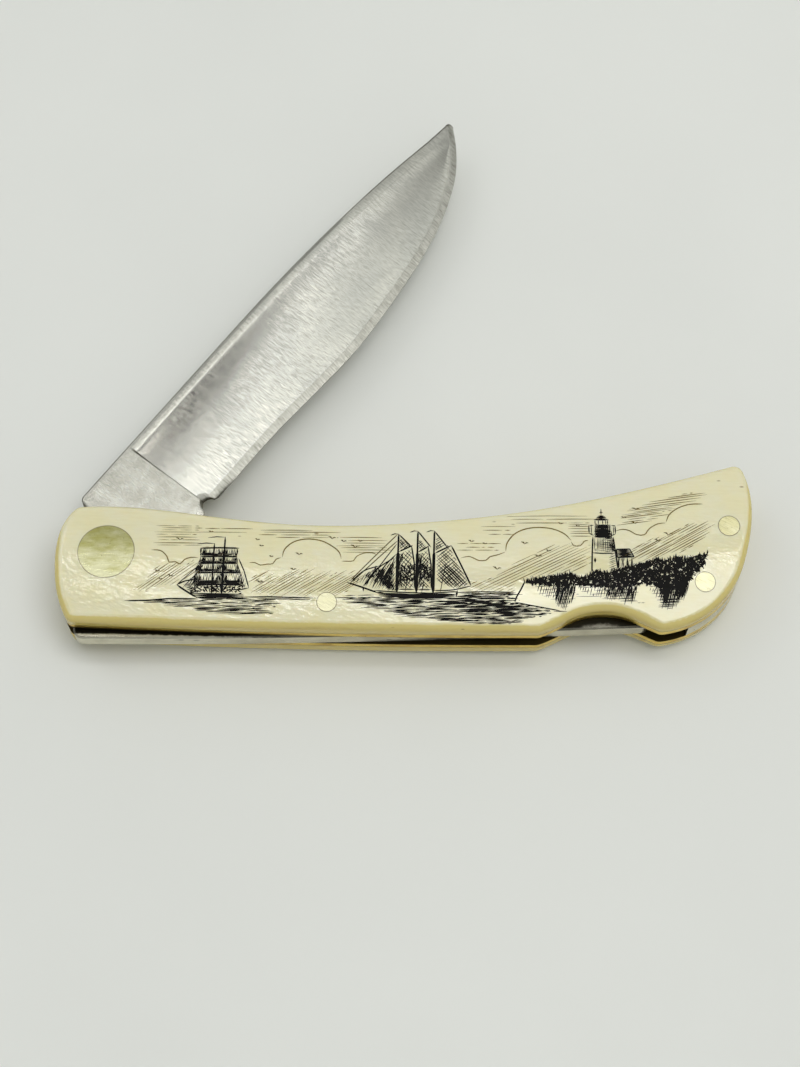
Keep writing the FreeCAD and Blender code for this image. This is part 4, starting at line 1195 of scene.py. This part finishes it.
def draw_lighthouse(black):
    """Tapered tower with a gallery and a domed lantern, and the keeper's house beside it."""
    black.stroke([(79.2, -2.0), (79.3, 1.5), (79.45, 4.4)], 0.25, 0.03)
    black.stroke([(83.5, -1.5), (83.1, 1.5), (82.75, 4.4)], 0.25, 0.03)
    black.hatch([(81.9, -1.5), (83.4, -1.4), (83.0, 1.3), (82.2, 1.3)], 24.0, 0.3, 0.12, 0.2, 0.1)
    black.hatch([(79.4, 1.7), (83.0, 1.7), (82.7, 4.2), (79.5, 4.2)], 88.0, 0.3, 0.13, 0.3, 0.1)
    black.hatch([(80.4, 1.7), (83.0, 1.7), (82.7, 4.2), (80.8, 4.2)], 6.0, 0.3, 0.14, 0.3, 0.1)
    black.hatch([(81.9, 1.7), (83.0, 1.7), (82.7, 4.2), (82.1, 4.2)], 80.0, 0.2, 0.2, 0.1, 0.1)
    black.stroke([(79.3, 1.5), (81.0, 1.42), (83.05, 1.5)], 0.2, 0.03)
    black.stroke([(79.75, 0.6), (79.75, -0.2)], 0.4, 0.1)
    gallery = [(79.65, 4.2), (82.6, 4.2), (82.4, 6.7), (79.75, 6.7)]
    black.hatch(gallery, 2.0, 0.18, 0.3, 0.02, 0.03)
    black.hatch(gallery, 88.0, 0.3, 0.24, 0.1, 0.05)
    for x, inner in ((78.85, 79.6), (83.15, 82.5)):
        black.stroke([(x - 0.05, 6.5), (x, 4.9)], 0.22, 0.05)
        black.stroke([(x, 6.45), (inner, 6.45)], 0.2, 0.05)
        black.stroke([(x, 4.95), (inner, 4.6)], 0.2, 0.05)
        black.stroke([((x + inner) / 2, 6.4), ((x + inner) / 2, 4.8)], 0.14, 0.05)
    for x in (79.85, 80.4, 81.1, 81.6, 81.9):
        black.stroke([(x, 6.6), (x, 7.5)], 0.18, 0.03)
    black.stroke([(79.65, 7.5), (82.1, 7.5)], 0.26, 0.03)
    dome = [(79.75, 7.5), (82.0, 7.5), (81.5, 8.15), (80.95, 8.5), (80.3, 8.15)]
    black.hatch(dome, 2.0, 0.12, 0.22, 0.0, 0.02)
    black.stroke([(80.87, 8.3), (80.87, 9.6)], 0.2, 0.1)
    black.stroke([(80.6, 8.85), (81.15, 8.85)], 0.2, 0.1)
    roof = [(83.25, 2.2), (85.4, 2.3), (86.1, 0.95), (83.4, 0.75)]
    black.hatch(roof, 4.0, 0.15, 0.26, 0.0, 0.0)
    for a, b in zip(roof, roof[1:] + roof[:1]):
        black.stroke([a, b], 0.2, 0.0)
    for x in (83.55, 84.25, 85.0, 85.75):
        black.stroke([(x, 0.8), (x + 0.05, -1.1)], 0.22, 0.05)
    black.hatch([(83.5, 0.7), (85.8, 0.7), (85.8, -1.1), (83.6, -1.1)], 86.0, 0.4, 0.12, 0.4, 0.2)


def engrave():
    """The scene cut into the front scale: a square-rigger, a schooner and a lighthouse on a headland.

    Its outlines were read off the photo, so it follows the photo's picture and isn't a generic
    one. The single strokes inside them are random.
    """
    black_ink = ink_material("black_ink", srgb(5, 5, 4), srgb(16, 15, 11))
    sepia_ink = ink_material("sepia_ink", srgb(100, 86, 36), srgb(136, 120, 64))
    brown_ink = ink_material("brown_ink", srgb(62, 52, 18), srgb(96, 82, 34))
    sepia, brown, black = Engraving(11), Engraving(12), Engraving(13)
    for x, y, span in draw_sky(sepia):
        brown.bird(x, y, span)
    sepia.finish("scrimshaw_sky", sepia_ink)
    brown.finish("scrimshaw_birds", brown_ink)

    black.stroke([(3.6, -8.4), (7.3, -8.35), (10.4, -8.0), (15.1, -7.85)], 0.24, 0.3)
    black.stroke([(22.4, -7.5), (27.0, -7.35), (34.6, -7.4)], 0.22, 0.3)
    black.stroke([(25.0, -7.7), (30.0, -7.65), (34.4, -7.75)], 0.17, 0.4)
    draw_sea(black, [(4.5, -8.4), (8.2, -8.75), (11.0, -9.0), (13.5, -9.4), (16.0, -10.0), (20.0, -10.4),
                     (28.0, -10.2), (25.8, -9.7), (29.5, -8.2), (26.0, -7.6), (15.1, -7.8), (10.4, -8.1)],
             0.34, 0.27)
    draw_square_rigger(black)
    black.finish("scrimshaw_square_rigger", black_ink)

    black, brown = Engraving(17), Engraving(18)
    draw_sea(black, [(38.4, -7.1), (44.6, -7.0), (57.0, -6.9), (57.8, -6.0), (66.8, -5.8), (66.6, -7.4),
                     (73.8, -8.6), (69.5, -10.0), (65.0, -11.0), (58.0, -11.0), (52.2, -10.4),
                     (48.6, -10.0), (45.3, -9.2),
                     (41.7, -8.5)], 0.32, 0.27)
    black.hatch([(55.5, -7.0), (66.4, -6.0), (66.4, -7.4), (71.5, -8.6), (67.0, -9.3), (60.0, -9.2),
                 (55.5, -8.4)], 2.0, 0.27, 0.29, 0.6, 0.9, 0.015, 6.0)
    black.hatch([(38.6, -6.7), (44.3, -6.6), (44.6, -7.2), (39.0, -7.3)], 3.0, 0.3, 0.18, 0.5, 0.6, 0.02, 3.0)
    black.stroke([(57.0, -5.95), (61.0, -5.7), (66.9, -5.65)], 0.18, 0.2)
    draw_schooner(black, brown)
    black.finish("scrimshaw_schooner", black_ink)
    brown.finish("scrimshaw_stays", brown_ink)

    black = Engraving(23)
    draw_headland(black)
    draw_lighthouse(black)
    black.finish("scrimshaw_headland", black_ink)


# ------------------------------------------------------------------ the whole knife

add_camera()
FLOOR = 1500
floor = new_mesh("floor", [(-FLOOR, -FLOOR, 0), (FLOOR, -FLOOR, 0), (FLOOR, FLOOR, 0), (-FLOOR, FLOOR, 0)],
                 [(0, 1, 2, 3)])
dress(floor, floor_material())
add_world()
add_softbox("overhead", (0.27, -0.03, 0.96), 1.0, (0.55, 0.55), 3.45, (1.0, 0.99, 0.96))
add_softbox("side", (-0.50, 0.36, 0.79), 1.0, (0.42, 0.42), 0.61)
add_softbox("strip", (0.0, 0.16, 0.98), 0.80, (0.40, 0.03), 0.33)
add_softbox("strip_left", (-0.16, 0.30, 0.94), 0.80, (0.12, 0.04), 0.10)
add_softbox("tube", (0.07, 0.383, 0.922), 4.0, (1.1, 0.12), 1.26)
bpy.context.scene.view_settings.view_transform = "Standard"
bpy.context.scene.view_settings.look = "None"

bone = bone_material()
brass = brass_material()
pin = pin_material("pin_metal", 0.5, srgb(232, 229, 196), srgb(220, 215, 170), (0.48, 0.62))
disc = pin_material("pivot_disc", -0.12, srgb(208, 207, 170), srgb(166, 163, 98), (0.26, 0.42))
blade_steel = blade_material()
bar_steel = steel_material("lock_bar_steel", math.pi / 2, 4.0, srgb(220, 216, 196), srgb(186, 181, 160),
                           0.8, (0.24, 0.42), 0.1)
spring_steel = steel_material("spring_steel", math.pi / 2, 4.0, srgb(150, 150, 150), srgb(110, 110, 112), 0.4)

for material, names in (
        (bone, ("front_scale", "rear_scale")),
        (brass, ("front_liner", "rear_liner")),
        (pin, ("lock_bar_pin", "upper_butt_pin", "lower_butt_pin")),
        (disc, ("front_pivot_collar", "rear_pivot_collar", "pivot_pin")),
        (bar_steel, ("lock_bar", "butt_spacer"))):
    for name in names:
        dress(NODES[name], material)

blade = make_blade()
paint_blade(blade)
dress(blade, blade_steel)
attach(blade, "blade")
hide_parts("blade")

spring = make_spring()
dress(spring, spring_steel)
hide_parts("lock_spring")
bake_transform(spring)

engrave()
